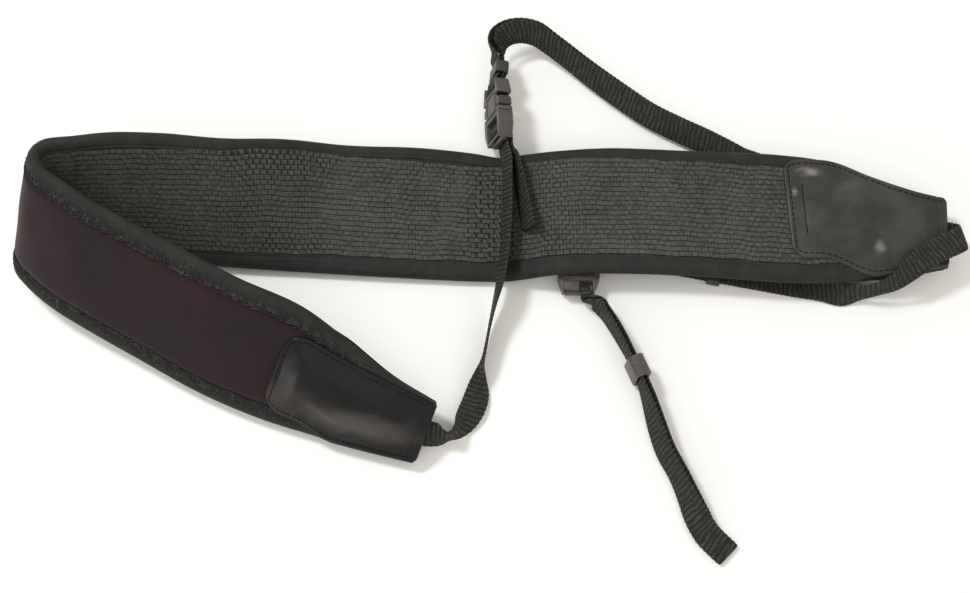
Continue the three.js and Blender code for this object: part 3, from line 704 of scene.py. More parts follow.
@dataclass(frozen=True)
class GripFinish(Finish):
    """The ground of the grip mesh: a coarse dark weave between the raised dashes."""

    pitch: float = 1.2
    dark: tuple = (34, 33, 31)
    light: tuple = (66, 64, 61)

    def dress(self, shader: Shader) -> None:
        """Crossed yarns and dust, with painted shade in the pleats where the band is pinched."""
        along, across = shader.run()
        weave = along.wave(self.pitch).rise(0.1, 0.8) * across.wave(self.pitch).rise(0.1, 0.8)
        patch = shader.noise(0.03, 3.0).rise(0.3, 0.7)
        grain = shader.noise(0.0011, 3.0).rise(0.3, 0.72)
        # The tone is darkened by painted shade in the pleats near the pinch.
        tone = (weave * 0.5 + grain * 0.3 + patch * 0.2) * painted_pleat_shade(along)
        shader.tint(tone, self.dark, self.light, Specular_IOR_Level=0.15)
        shader.bump(weave + grain * 0.3, 0.0003, 0.9)


@dataclass(frozen=True)
class DashFinish(Finish):
    """The rubbery dashes that stand on the grip mesh."""

    dark: tuple = (54, 53, 50)
    light: tuple = (86, 84, 80)

    def dress(self, shader: Shader) -> None:
        """Tone that changes from dash to dash."""
        tone = shader.noise(0.0014, 3.0).rise(0.35, 0.68)
        patch = shader.noise(0.03, 3.0).rise(0.3, 0.7)
        fine = shader.noise(0.0005, 2.0)
        shader.tint(tone * 0.55 + patch * 0.2 + fine * 0.25, self.dark, self.light,
                    Specular_IOR_Level=0.15)
        shader.bump(fine, 0.00012, 0.7)


@dataclass(frozen=True)
class TapeFinish(Finish):
    """Woven edge tape with fine ribs across it."""

    dark: tuple = (33, 34, 32)
    light: tuple = (48, 48, 45)

    def dress(self, shader: Shader) -> None:
        """Fine ribs, dust and wear."""
        along, across = shader.run()
        ribs = along.wave(0.55)
        wear = shader.noise(0.006, 4.0).rise(0.35, 0.75)
        dust = shader.noise(0.0008, 2.0).rise(0.4, 0.8)
        tone = ribs * 0.2 + wear * 0.5 + dust * 0.3
        shader.tint(tone, self.dark, self.light, Specular_IOR_Level=0.22)
        shader.bump(ribs * 0.6 + dust * 0.6 + across.wave(1.3) * 0.2, 0.0001, 0.7)


@dataclass(frozen=True)
class LeatheretteFinish(Finish):
    """Grained leatherette with rubbed patches and spots of painted highlight.

    Attributes:
        dark: Its colour in the grain.
        light: Its colour where it is rubbed.
        coat: How glossy its coat is.
        relief: How strong its grain and creases are.
        shine: How much it reflects under the coat.
        spots: Spots of painted highlight: along, across, reach, stretch and strength of each.
        painted_highlight: Their colour.
    """

    dark: tuple = (44, 43, 40)
    light: tuple = (66, 64, 60)
    coat: float = 0.2
    relief: float = 0.55
    shine: float = 0.35
    spots: tuple = ()
    # The light colour of the painted highlights.
    painted_highlight: tuple = (146, 143, 138)

    def dress(self, shader: Shader) -> None:
        """Pebbled grain, creases, a gloss that changes where it is rubbed, and painted highlights.
        """
        place = shader.make("ShaderNodeTexCoord", output="Object")
        cells = shader.make("ShaderNodeTexVoronoi", {"Vector": place, "Scale": 1400.0},
                            feature="DISTANCE_TO_EDGE")
        grain = cells.rise(0.0, 0.22)
        crease = shader.noise(0.009, 3.0, (1.0, 2.2, 1.0)).rise(0.3, 0.7)
        rub = shader.noise(0.014, 2.0).rise(0.4, 0.66)
        base = shader.mix(rub * 0.6 + grain * 0.2, shade(*self.dark), shade(*self.light))
        along, across = shader.run()
        # Each spot blends the base colour towards a painted highlight, glare painted onto the
        # surface.
        for at, up, reach, stretch, strength in self.spots:
            far = ((along - at) * (along - at) * stretch
                   + (across - up) * (across - up)).power(0.5) + (crease - 0.5) * 1.6
            base = shader.mix((1 - far.rise(0.0, reach)) * strength, base, shade(*self.painted_highlight))
        shader.set(Base_Color=base, Roughness=(1 - rub) * 0.2 + self.roughness,
                   Coat_Weight=self.coat, Coat_Roughness=0.22, Specular_IOR_Level=self.shine)
        shader.bump(grain * 0.35 + crease, 0.0004, self.relief)


@dataclass(frozen=True)
class WebbingFinish(Finish):
    """Ribbed nylon webbing: a rib across, crossed by short floats of yarn."""

    pitch: float = 1.9
    dark: tuple = (30, 30, 28)
    light: tuple = (74, 72, 68)

    def dress(self, shader: Shader) -> None:
        """Ribs and slanted floats, lighter on the rib tops with painted shade in the grooves,
        rubbed here and there.
        """
        along, across = shader.run()
        sway = shader.noise(0.0045, 2.0)
        slant = along + across * 0.2 + sway * 2.2
        odd = (slant / self.pitch).floor() % 2
        ribs = slant.wave(self.pitch).rise(0.12, 0.85)
        floats = (across + odd * 0.55 + sway * 0.5).wave(1.1).rise(0.1, 0.75)
        fuzz = shader.noise(0.0007, 3.0)
        worn = shader.noise(0.0032, 3.0).rise(0.32, 0.68)
        # The tone follows the ribs: partly the yarn's pattern, partly painted shade in the grooves
        # between them.
        tone = ribs * (floats * 0.35 + worn * 0.45 + 0.02) + fuzz.rise(0.45, 0.8) * 0.2
        shader.tint(tone, self.dark, self.light, Specular_IOR_Level=0.25)
        shader.bump(ribs * (floats * 0.5 + 0.5) + fuzz * 0.4, 0.0003, 0.8)


@dataclass(frozen=True)
class PlasticFinish(Finish):
    """Moulded acetal, finely textured and a little scuffed."""

    base: tuple = (70, 67, 62)
    scuff: tuple = (92, 88, 82)

    def dress(self, shader: Shader) -> None:
        """Spark-eroded texture and scuffs."""
        fine = shader.noise(0.00035, 2.0)
        marks = shader.noise(0.004, 5.0, (1.0, 3.0, 1.0)).rise(0.5, 0.72)
        shader.tint(marks * 0.5 + fine * 0.15, self.base, self.scuff,
                    Roughness=marks * 0.15 + self.roughness, Specular_IOR_Level=0.45)
        shader.bump(fine + marks * 0.5, 0.00006, 0.6)


@dataclass(frozen=True)
class ThreadFinish(Finish):
    """Polyester sewing thread."""

    base: tuple = (27, 27, 26)
    light: tuple = (70, 68, 67)

    def dress(self, shader: Shader) -> None:
        """Twist and a change of tone from stitch to stitch."""
        twist = shader.noise(0.0003, 2.0)
        tone = shader.noise(0.0022, 2.0).rise(0.45, 0.75)
        shader.tint(tone * 0.85 + twist * 0.15, self.base, self.light, Specular_IOR_Level=0.25)
        shader.bump(twist, 0.00008, 0.7)


@dataclass(frozen=True)
class FloorFinish(Finish):
    """The plain pale surface that the strap lies on."""

    clean: tuple = (250, 249, 246)
    dusty: tuple = (244, 243, 239)

    def dress(self, shader: Shader) -> None:
        """Very faint unevenness."""
        shader.tint(shader.noise(0.05, 2.0) * 0.2, self.clean, self.dusty,
                    Specular_IOR_Level=0.2)


NEOPRENE = NeopreneFinish("neoprene_face", "neoprene", 0.88)
GRIP = GripFinish("grip_weave", "grip_mesh", 0.85)
GRIP_DASH = DashFinish("grip_dash", "grip_mesh", 0.7)
TAPE = TapeFinish("edge_tape", "binding_tape", 0.7)
# The spots of both patches are painted highlights: glare on the grey patch, a painted reflection
# band low on the glossy patch.
GREY_PATCH = LeatheretteFinish("leatherette_grey", "leatherette", 0.42, (40, 39, 37), (62, 60, 57),
                               0.2, spots=((53, 45.4, 3.2, 0.3, 0.85), (59.7, 36.8, 1.9, 1.5, 0.5),
                                           (28.5, 12.3, 4.2, 1.6, 0.55), (37, 38.5, 4, 0.5, 0.14)))
GLOSS_PATCH = LeatheretteFinish("leatherette_gloss", "leatherette", 0.34, (13, 12, 13),
                                (22, 20, 21), 0.22, relief=0.3, shine=0.12,
                                spots=((PAD.length - 25, 10.5, 8.0, 0.05, 0.85),
                                       (PAD.length - 57, 14, 11, 0.5, 0.5)),
                                painted_highlight=(76, 70, 66))
WEB = WebbingFinish("nylon_webbing", "webbing", 0.72)
PLASTIC = PlasticFinish("moulded_plastic", "black_plastic", 0.42)
KEEPER_PLASTIC = PlasticFinish("keeper_plastic", "black_plastic", 0.42, (42, 43, 45), (66, 67, 68))
THREAD = ThreadFinish("sewing_thread", "binding_tape", 0.8)
SEAM = ThreadFinish("seam_thread", "binding_tape", 0.85, (13, 13, 13), (34, 33, 32))


def settle(piece: Piece, finish: Finish, *stands_for: str) -> Piece:
    """Finishes a piece: its material, body and the solids that it stands for.

    Args:
        piece: The piece.
        finish: Its finish.
        *stands_for: The solids' names.

    Returns:
        The piece.
    """
    finish.on(piece)
    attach(piece, BODY)
    if stands_for:
        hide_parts(*stands_for)
    return piece


# ---------------------------------------------------------------- what repeats


class Shape(Enum):
    """The small form that is repeated."""

    THREAD = "thread"
    BAR = "bar"


@dataclass
class Spots:
    """Where a small form is repeated: places, headings and outward directions."""

    place: list[Array] = field(default_factory=list)
    along: list[Array] = field(default_factory=list)
    up: list[Array] = field(default_factory=list)

    def add(self, place: Array, along: Array, up: Array) -> None:
        """Adds places with their directions, each of any number of rows."""
        self.place.append(np.reshape(place, (-1, 3)))
        self.along.append(np.reshape(along, (-1, 3)))
        self.up.append(np.reshape(up, (-1, 3)))


class Repeater:
    """A node tree that sets a small form on every spot, a little unevenly."""

    SIZES = ("Length", "Width", "Height", "Turn", "Uneven")

    def __init__(self, shape: Shape, seed: int) -> None:
        """Builds the tree.

        Args:
            shape: The form.
            seed: Fixes the random turns and sizes.
        """
        self.tree = bpy.data.node_groups.new(f"repeat_{shape.value}_{seed}", "GeometryNodeTree")
        self._port("Geometry", "Geometry", "OUTPUT")
        self._port("Geometry", "Geometry")
        self.ports = {name: self._port(name, "Float") for name in self.SIZES}
        self.ports["Finish"] = self._port("Finish", "Material")
        self._fill(shape, seed)

    def _port(self, name: str, kind: str, way: str = "INPUT") -> str:
        """Adds a socket to the tree's interface and returns its identifier."""
        return self.tree.interface.new_socket(name=name, in_out=way,
                                              socket_type=f"NodeSocket{kind}").identifier

    def _node(self, kind: str, inputs: dict[object, object] | None = None, output: int = 0,
              **settings: object) -> Socket:
        """Adds a node.

        Args:
            kind: Its type.
            inputs: Values or other nodes' outputs by socket name or number.
            output: The number of the output that is wanted.
            **settings: Its properties, set first.

        Returns:
            That output.
        """
        node = self.tree.nodes.new(kind)
        for key, value in settings.items():
            setattr(node, key, value)
        for key, value in (inputs or {}).items():
            if isinstance(value, Socket):
                self.tree.links.new(value, node.inputs[key])
            else:
                node.inputs[key].default_value = value
        return node.outputs[output]

    def _maths(self, operation: str, first: object, second: object) -> Socket:
        """Adds one Math node."""
        return self._node("ShaderNodeMath", {0: first, 1: second}, operation=operation)

    def _random(self, low: object, high: object, seed: int) -> Socket:
        """A number for each spot."""
        return self._node("FunctionNodeRandomValue", {2: low, 3: high, "Seed": seed}, 1,
                          data_type="FLOAT")

    def _named(self, name: str) -> Socket:
        """A vector that the spots carry."""
        return self._node("GeometryNodeInputNamedAttribute", {"Name": name},
                          data_type="FLOAT_VECTOR")

    def _form(self, shape: Shape) -> Socket:
        """The form, of size 1 each way."""
        if shape is Shape.BAR:
            return self._node("GeometryNodeMeshCube", {"Size": (1, 1, 1)})
        ball = self._node("GeometryNodeMeshUVSphere", {"Segments": 8, "Rings": 5, "Radius": 0.5})
        return self._node("GeometryNodeTransform", {"Geometry": ball,
                                                    "Rotation": (0, math.pi / 2, 0)})

    def _fill(self, shape: Shape, seed: int) -> None:
        """Adds the tree's nodes."""
        given = self.tree.nodes.new("NodeGroupInput").outputs
        size = self._node("ShaderNodeCombineXYZ", {0: given["Length"], 1: given["Width"],
                                                   2: given["Height"]})
        sized = self._node("GeometryNodeTransform", {"Geometry": self._form(shape),
                                                     "Scale": size})
        aim = self._node("FunctionNodeAxesToRotation",
                         {0: self._named("up"), 1: self._named("along")},
                         primary_axis="Z", secondary_axis="X")
        turn = self._random(self._maths("MULTIPLY", given["Turn"], -1.0), given["Turn"], seed)
        twist = self._node("FunctionNodeAxisAngleToRotation", {"Axis": (0, 0, 1), "Angle": turn})
        aimed = self._node("FunctionNodeRotateRotation", {0: aim, 1: twist},
                           rotation_space="LOCAL")
        grow = self._random(self._maths("SUBTRACT", 1.0, given["Uneven"]),
                            self._maths("ADD", 1.0, given["Uneven"]), seed + 1)
        spread = self._node("GeometryNodeInstanceOnPoints",
                            {"Points": given["Geometry"], "Instance": sized,
                             "Rotation": aimed, "Scale": grow})
        real = self._node("GeometryNodeRealizeInstances", {0: spread})
        soft = self._node("GeometryNodeSetShadeSmooth",
                          {0: real, "Shade Smooth": shape is Shape.THREAD})
        dressed = self._node("GeometryNodeSetMaterial",
                             {"Geometry": soft, "Material": given["Finish"]})
        self.tree.links.new(dressed, self.tree.nodes.new("NodeGroupOutput").inputs[0])

    def scatter(self, name: str, spots: Spots, size: tuple[float, float, float],
                finish: Finish, turn: float = 0.0, uneven: float = 0.0) -> Piece:
        """Makes one finished piece, a plain mesh of the form on every spot.

        Args:
            name: The object's name.
            spots: Where the form goes.
            size: Its length, width and height in millimetres.
            finish: Its finish.
            turn: The most that it turns about its outward direction, in radians.
            uneven: How much its size varies, as a share.

        Returns:
            The piece.
        """
        seeds = bpy.data.meshes.new(name + "_spots")
        seeds.from_pydata(np.concatenate(spots.place).tolist(), [], [])
        for key, rows in (("along", spots.along), ("up", spots.up)):
            layer = seeds.attributes.new(key, "FLOAT_VECTOR", "POINT")
            layer.data.foreach_set("vector", np.concatenate(rows).astype(np.float32).ravel())
        carrier = new_object(name + "_spots", seeds)
        modifier = carrier.modifiers.new("repeat", "NODES")
        modifier.node_group = self.tree
        values = (*(s * MM for s in size), turn, uneven)
        for key, value in zip(self.SIZES, values):
            modifier[self.ports[key]] = value
        modifier[self.ports["Finish"]] = finish.material()
        mesh = evaluated(carrier)
        carrier.modifiers.remove(modifier)
        bpy.data.objects.remove(carrier)
        mesh.name = name
        return settle(new_object(name, mesh), finish)


# ---------------------------------------------------------------- the padded band


@dataclass
class PaddedBand:
    """The long padded band: cover, grip mesh, edge tape and their stitching.

    Attributes:
        width: Its usual width.
        lining: The room for the grip mesh inside the band's thickness.
        lower_reach: How far the tape covers the inner face at the lower edge.
        upper_reach: The same at the upper edge.
        outer_reach: How far the tape covers the outer face at both edges.
        crown_outer: How far the cover bulges.
        crown_inner: How far the grip mesh bulges.
        tape: The tape's thickness.
        step: How far apart the rings of the cover and the tape are.
        inset: How far the cover stays inside the tape's fold.
        tuck: How far the grip mesh goes under the tape.
        dash: Length, width and height of the grip mesh's dashes.
        dash_pitch: How far apart they are along and across.
        dash_end: How far from the band's front end the last of them are, under the tab.
        uneven: Slow waves of the band's faces.
        small: Quick waves of them.
    """

    width: float = 53.5
    lining: float = 0.8
    lower_reach: float = 7.2
    upper_reach: float = 5.6
    outer_reach: float = 7.0
    crown_outer: float = 0.7
    crown_inner: float = 0.45
    tape: float = 0.7
    step: float = 1.6
    inset: float = 1.2
    tuck: float = 1.6
    dash: tuple[float, float, float] = (2.42, 1.62, 0.2)
    dash_pitch: tuple[float, float] = (2.6, 2.05)
    dash_end: float = 56.0
    uneven: Callable = field(default_factory=lambda: ripples(3, 9, 14, 60))
    small: Callable = field(default_factory=lambda: ripples(5, 8, 4, 11))

    def outer_height(self, where: Array, across: Array) -> Array:
        """How far the outer face stands from the band's middle plane.

        Args:
            where: Distances along.
            across: Distances from the lower edge.

        Returns:
            Heights in millimetres.
        """
        width, half = PAD.width(where), PAD.half(where)
        x = 2 * across / width - 1
        crown = self.crown_outer * (1 - x**2) * np.minimum(1, half / 2.5)
        return half + crown + 0.14 * self.uneven(where, across) * (1 - x**4)

    def inner_height(self, where: Array, across: Array) -> Array:
        """How far the grip mesh's face stands from the middle plane on the inner side."""
        width, half = PAD.width(where), PAD.half(where)
        x = 2 * across / width - 1
        pleats = hump(where, PINCH, 13.0) * np.sin((where - PINCH) * 2 * math.pi / PLEAT)
        return (half + self.crown_inner * (1 - x**2) + 0.3 * pleats * (1 - x**6)
                + 0.1 * self.uneven(where + 200, across) + 0.05 * self.small(where, across))

    def cover(self) -> Piece:
        """The foam with its cover: a closed body, puffed up between the rows of tape."""
        where = np.arange(0, PAD.length, self.step)[:, None]
        width, half = PAD.width(where), PAD.half(where)
        share = 0.5 - 0.5 * np.cos(np.linspace(0.04, 0.96, 40) * math.pi)[None, :]
        across = self.inset + (width - 2 * self.inset) * share
        edge = np.sqrt(np.clip(1 - np.abs(2 * share - 1) ** 12, 0, 1))
        free = self.outer_reach - 0.8, self.outer_reach + 2.2
        inside = smoothstep(across, *free) * smoothstep(width - across, *free)
        under = half - self.tape - 0.1
        outer = (under + (self.outer_height(where, across) - under) * inside) * edge
        inner = -(half - self.lining) * edge
        piece = settle(sheet("pad_cover", where, across, inner, outer), NEOPRENE, "pad_foam")
        return piece

    def grip(self) -> Piece:
        """The grip mesh on the inner face, tucked under the tape at both edges."""
        where = np.arange(1.0, PAD.length - 1.0, 1.1)[:, None]
        width = PAD.width(where)
        low, high = self.lower_reach - self.tuck, width - self.upper_reach + self.tuck
        across = low + (high - low) * np.linspace(0, 1, 46)[None, :]
        clear = smoothstep(across - low, 0, 2.6) * smoothstep(high - across, 0, 2.6)
        face = self.inner_height(where, across) - (1 - clear) * 0.75
        return settle(sheet("grip_lining", where, across, -face, 0.72 - face), GRIP,
                      "pad_lining")

    def dashes(self) -> Piece:
        """The raised dashes of the grip mesh, in staggered rows."""
        spots = Spots()
        pitch, row_pitch = self.dash_pitch
        clear = PAD.nearest(140, 25), PAD.length - self.dash_end
        top = self.width - self.upper_reach - 0.6
        for row, height in enumerate(np.arange(self.lower_reach + 0.9, top, row_pitch)):
            where = np.arange(clear[0] - 3 + (row % 2) * pitch / 2, clear[1], pitch)
            across = np.full_like(where, height)
            across = across + 0.25 * self.uneven(where * 2, across)
            face = -self.inner_height(where, across) - 0.04
            along, _, normal = PAD.axes(where)
            spots.add(PAD.place(where, across, face), along, -normal)
        return Repeater(Shape.BAR, 11).scatter("grip_dashes", spots, self.dash, GRIP_DASH,
                                               0.03, 0.06)

    def edge_tape(self, name: str, upper: bool) -> Piece:
        """Tape folded over one edge.

        Args:
            name: The solid's name, which the piece stands for.
            upper: Whether it is the upper edge.

        Returns:
            The piece.
        """
        where = np.arange(0.4, PAD.length - 0.4, self.step)[:, None]
        half = PAD.half(where) + 0.12
        reach = self.upper_reach if upper else self.lower_reach
        wobble = 0.22 * self.small(where * 0.7, np.full_like(where, 90.0 if upper else 10.0))

        def skin(depth: float) -> list[tuple[Array, Array]]:
            """One side of the tape, `depth` in from its outside."""
            radius = half - depth
            line = []
            for share in np.linspace(1, 0, 12):
                across = half + (reach + wobble - half) * share
                puff = 0.16 * np.sin(math.pi * share) - 0.3 * hump(
                    across, reach - 1.5, 0.35) - 0.25 * smoothstep(share, 0.9, 1)
                line.append((across, -(radius + puff * (depth == 0))))
            for angle in np.linspace(-75, 75, 11):
                a = math.radians(angle)
                line.append((half - radius * math.cos(a), radius * math.sin(a)))
            for share in np.linspace(0, 1, 12):
                across = half + (self.outer_reach + wobble - half) * share
                puff = 0.16 * np.sin(math.pi * share) - 0.25 * smoothstep(share, 0.9, 1)
                line.append((across, radius + puff * (depth == 0)))
            return line

        outline = skin(0.0) + skin(self.tape)[::-1]
        across = np.concatenate([np.broadcast_to(a, where.shape) for a, _ in outline], axis=1)
        face = np.concatenate([np.broadcast_to(f, where.shape) for _, f in outline], axis=1)
        sign = PAD.width(where) - across if upper else across
        rings = PAD.place(where, sign, face)
        run = np.concatenate([[0.0], np.cumsum(np.hypot(np.diff(across[9]), np.diff(face[9]))),
                              [0.0]])
        return settle(tube(name.replace("binding", "tape"), rings, run_at(where, run[None, :])),
                      TAPE, name)

    def overlock(self, name: str, upper: bool) -> Piece:
        """The crossed overlock stitches beside the tape on the outer face.

        Args:
            name: The piece's name.
            upper: Whether they follow the upper edge.

        Returns:
            The piece.
        """
        spots = Spots()
        for slant, phase, reach in ((64, 0.0, 5.0), (-60, 0.8, 5.1), (12, 0.4, 7.0)):
            where = np.arange(2.0 + phase, PAD.length - 2.0, 1.6)
            across = np.full_like(where, reach)
            across = across + 0.35 * self.small(where * 3, across + slant)
            across = PAD.width(where) - across if upper else across
            along, width, face = PAD.axes(where)
            a = math.radians(slant)
            heading = along * math.cos(a) + width * math.sin(a)
            height = PAD.half(where) + 0.3
            spots.add(PAD.place(where, across, height), heading, face)
        return Repeater(Shape.THREAD, 21 + upper).scatter(name, spots, (3.9, 0.6, 0.5), THREAD,
                                                          0.3, 0.2)

    def build(self) -> None:
        """Builds every piece of the band."""
        self.cover()
        self.grip()
        self.dashes()
        self.edge_tape("binding_lower", upper=False)
        self.edge_tape("binding_upper", upper=True)
        self.overlock("overlock_lower", upper=False)
        self.overlock("overlock_upper", upper=True)


# ---------------------------------------------------------------- tabs


@dataclass(frozen=True)
class Bump:
    """A soft bump on a patch: where it is, how tall and how wide."""

    from_start: float
    part: float
    tall: float
    spread: float


@dataclass
class Tab:
    """A leatherette patch over one side of a tapered end, with its stitching.

    Attributes:
        name: The solid that it stands for.
        start: Distance along the band of the rounded end.
        end: Distance of the end at the webbing.
        side: -1 on the inner face, 1 on the outer face.
        finish: Its leatherette.
        corner: The radius of its rounded corners.
        lower: How far its lower edge starts from the band's.
        upper: How far its upper edge starts from the band's.
        merge: The shares of the length at which its lower and upper edges meet the band's.
        slit: How far from the rounded end a short seam crosses it, or 0 for none.
        seam: How far from the webbing's end a seam crosses it.
        bumps: Soft bumps on its face.
        crown: How far its middle bulges.
        creased: How strong its wrinkles and creases are.
        thick: The leatherette's thickness.
        inset: How far in from the border the stitches run.
        pitch: How far apart they are.
    """

    name: str
    start: float
    end: float
    side: int
    finish: Finish
    corner: float = 6.0
    lower: float = 9.0
    upper: float = 2.8
    merge: tuple[float, float] = (0.6, 0.4)
    slit: float = 0.0
    seam: float = 3.6
    bumps: tuple[Bump, ...] = ()
    crown: float = 0.0
    creased: float = 1.0
    thick: float = 0.9
    inset: float = 2.0
    pitch: float = 2.3

    @property
    def reach(self) -> float:
        """Its length along the band."""
        return abs(self.end - self.start)

    def where(self, share: Array) -> Array:
        """Distances along the band at shares of the patch's length."""
        return self.start + (self.end - self.start) * share

    def limits(self, share: Array) -> tuple[Array, Array]:
        """The patch's two edges across the band.

        Args:
            share: From 0 at the rounded end to 1 at the webbing's end.

        Returns:
            Their distances from the band's lower edge.
        """
        c = self.corner
        gone = np.clip(c - share * self.reach, 0, c)
        round_off = c - np.sqrt(np.clip(c * c - gone * gone, 0, None))
        tip = 1.4 * smoothstep(share * self.reach, self.reach - 1.2, self.reach)
        low_end, high_end = self.merge
        low = 0.2 + self.lower * smoothstep(-share, -low_end, 0.1 - low_end / 2)
        high = 0.2 + self.upper * smoothstep(-share, -high_end, 0)
        return low + round_off + tip, PAD.width(self.where(share)) - high - round_off - tip

    def surface(self, share: Array, across: Array) -> Array:
        """The height of the patch's face above the band's middle plane.

        Args:
            share: From 0 at the rounded end to 1.
            across: Distances from the band's lower edge.

        Returns:
            Heights in millimetres.
        """
        where, run = self.where(share), share * self.reach
        low, high = self.limits(share)
        border = np.minimum(np.minimum(across - low, high - across),
                            np.minimum(run, self.reach - run))
        rim = np.sqrt(np.clip(1 - (1 - np.clip(border / 0.9, 0, 1)) ** 2, 0, 1))
        height = PAD.half(where) + 0.35 + self.thick * rim
        height = height + 0.75 * smoothstep(border, 2.2, 10) \
            - 0.16 * hump(border, self.inset, 0.5)
        height = height - 0.35 * hump(run, self.reach - self.seam, 0.4)
        part = (across - low) / np.maximum(high - low, 1.0)
        height = height + self.crown * (1 - (2 * part - 1) ** 2)
        if self.slit:
            height = height - 0.2 * hump(run, self.slit, 0.5) * smoothstep(part, 0.2, 0.26) \
                * smoothstep(-part, -0.76, -0.7)
        wrinkle = ripples(17 if self.side < 0 else 23, 9, 8, 30)
        height = height + 0.16 * self.creased * wrinkle(where, across * 1.3) \
            * smoothstep(border, 0.5, 4)
        creases = np.sin((run * 0.5 + across) * 2 * math.pi / 4.6)
        height = height + 0.14 * self.creased * creases \
            * hump(run, self.reach * 0.3, 9) * hump(part, 0.12, 0.16)
        for bump in self.bumps:
            away = np.hypot(run - bump.from_start, (part - bump.part) * (high - low))
            height = height + bump.tall * np.exp(-((away / bump.spread) ** 2))
        return height

    def build(self) -> None:
        """Builds the patch and the stitches along its border."""
        share = (1 - np.cos(np.linspace(0, 1, 120) * math.pi))[:, None] / 2
        low, high = self.limits(share)
        part = 0.5 - 0.5 * np.cos(np.linspace(0, 1, 72) * math.pi)[None, :]
        across = low + (high - low) * part
        where = self.where(share)
        top = self.surface(share, across) * self.side
        bottom = (PAD.half(where) + 0.1) * self.side
        settle(sheet(self.name.replace("tab", "patch"), where, across, bottom, top),
               self.finish, self.name)
        self.stitches()

    def track(self) -> Array:
        """The line of stitches: along one edge, round the rounded end and back.

        Returns:
            Shares of the length with distances across.
        """
        inset = self.inset
        legs = inset / self.reach + (1 - 2 * inset / self.reach) * np.linspace(1, 0, 160)
        low, high = self.limits(legs)
        ends = np.linspace(low[-1] + inset, high[-1] - inset, 60)[1:-1]
        share = np.concatenate([legs, np.full_like(ends, legs[-1]), legs[::-1]])
        return np.stack([share, np.concatenate([low + inset, ends, (high - inset)[::-1]])], axis=1)

    def stitches(self) -> None:
        """Sews the patch down along its border, and its slit across."""
        share, across = self.track().T
        heights = (self.surface(share, across) + 0.1) * self.side
        places = PAD.place(self.where(share), across, heights)
        run = np.concatenate([[0], np.cumsum(np.linalg.norm(np.diff(places, axis=0), axis=1))])
        stops = np.arange(self.pitch / 2, run[-1] / MM, self.pitch) * MM
        here, ahead = (np.stack([np.interp(at, run, places[:, k]) for k in range(3)], axis=1)
                       for at in (stops, stops + 0.4 * MM))
        face = PAD.axes(np.interp(stops, run, self.where(share)))[2] * self.side
        spots = Spots()
        spots.add(here, unit(ahead - here + 1e-9), face)
        if self.slit:
            low, high = self.limits(np.array([self.slit / self.reach]))
            line = low + (high - low) * np.linspace(0.24, 0.72, 34)
            level = np.full_like(line, self.slit / self.reach)
            _, wide, out = PAD.axes(self.where(level))
            spots.add(PAD.place(self.where(level), line, self.surface(level, line) * self.side),
                      wide, out * self.side)
        Repeater(Shape.THREAD, 41).scatter(self.name.replace("tab", "stitches"), spots,
                                           (1.8, 0.45, 0.36), SEAM, 0.05, 0.08)


# ---------------------------------------------------------------- webbing and buckles


@dataclass(frozen=True)
class BuckleFrame:
    """A buckle's place: its latch end's middle and its three directions."""

    x: float
    y: float
    z: float
    bearing: float
    lean: float
    width_bearing: float

    @property
    def width(self) -> Array:
        """The way its width points."""
        return direction(self.width_bearing, self.lean)

    @property
    def length(self) -> Array:
        """The way its length points."""
        return direction(self.bearing, 0)

    @property
    def through(self) -> Array:
        """The way its broad face points."""
        return unit(np.cross(self.width, self.length))

    def at(self, x: float, y: float, z: float) -> Array:
        """A point of the buckle, in layout millimetres."""
        return (np.array([self.x, self.y, self.z]) + self.width * x + self.length * y
                + self.through * z)

    def matrix(self) -> Matrix:
        """From the buckle's millimetres to metres in the frame."""
        m = np.eye(4)
        m[:3, 0], m[:3, 1], m[:3, 2] = (v * MM for v in (self.width, self.length, self.through))
        m[:3, 3] = to_frame(self.at(0, 0, 0))
        return Matrix(m.tolist())


BACK_BUCKLE = BuckleFrame(6.0, 60.6, 11.8, 93, 70, 3)
FRONT_BUCKLE = BuckleFrame(37.7, 26.4, 4.45, 267, 0, 177)


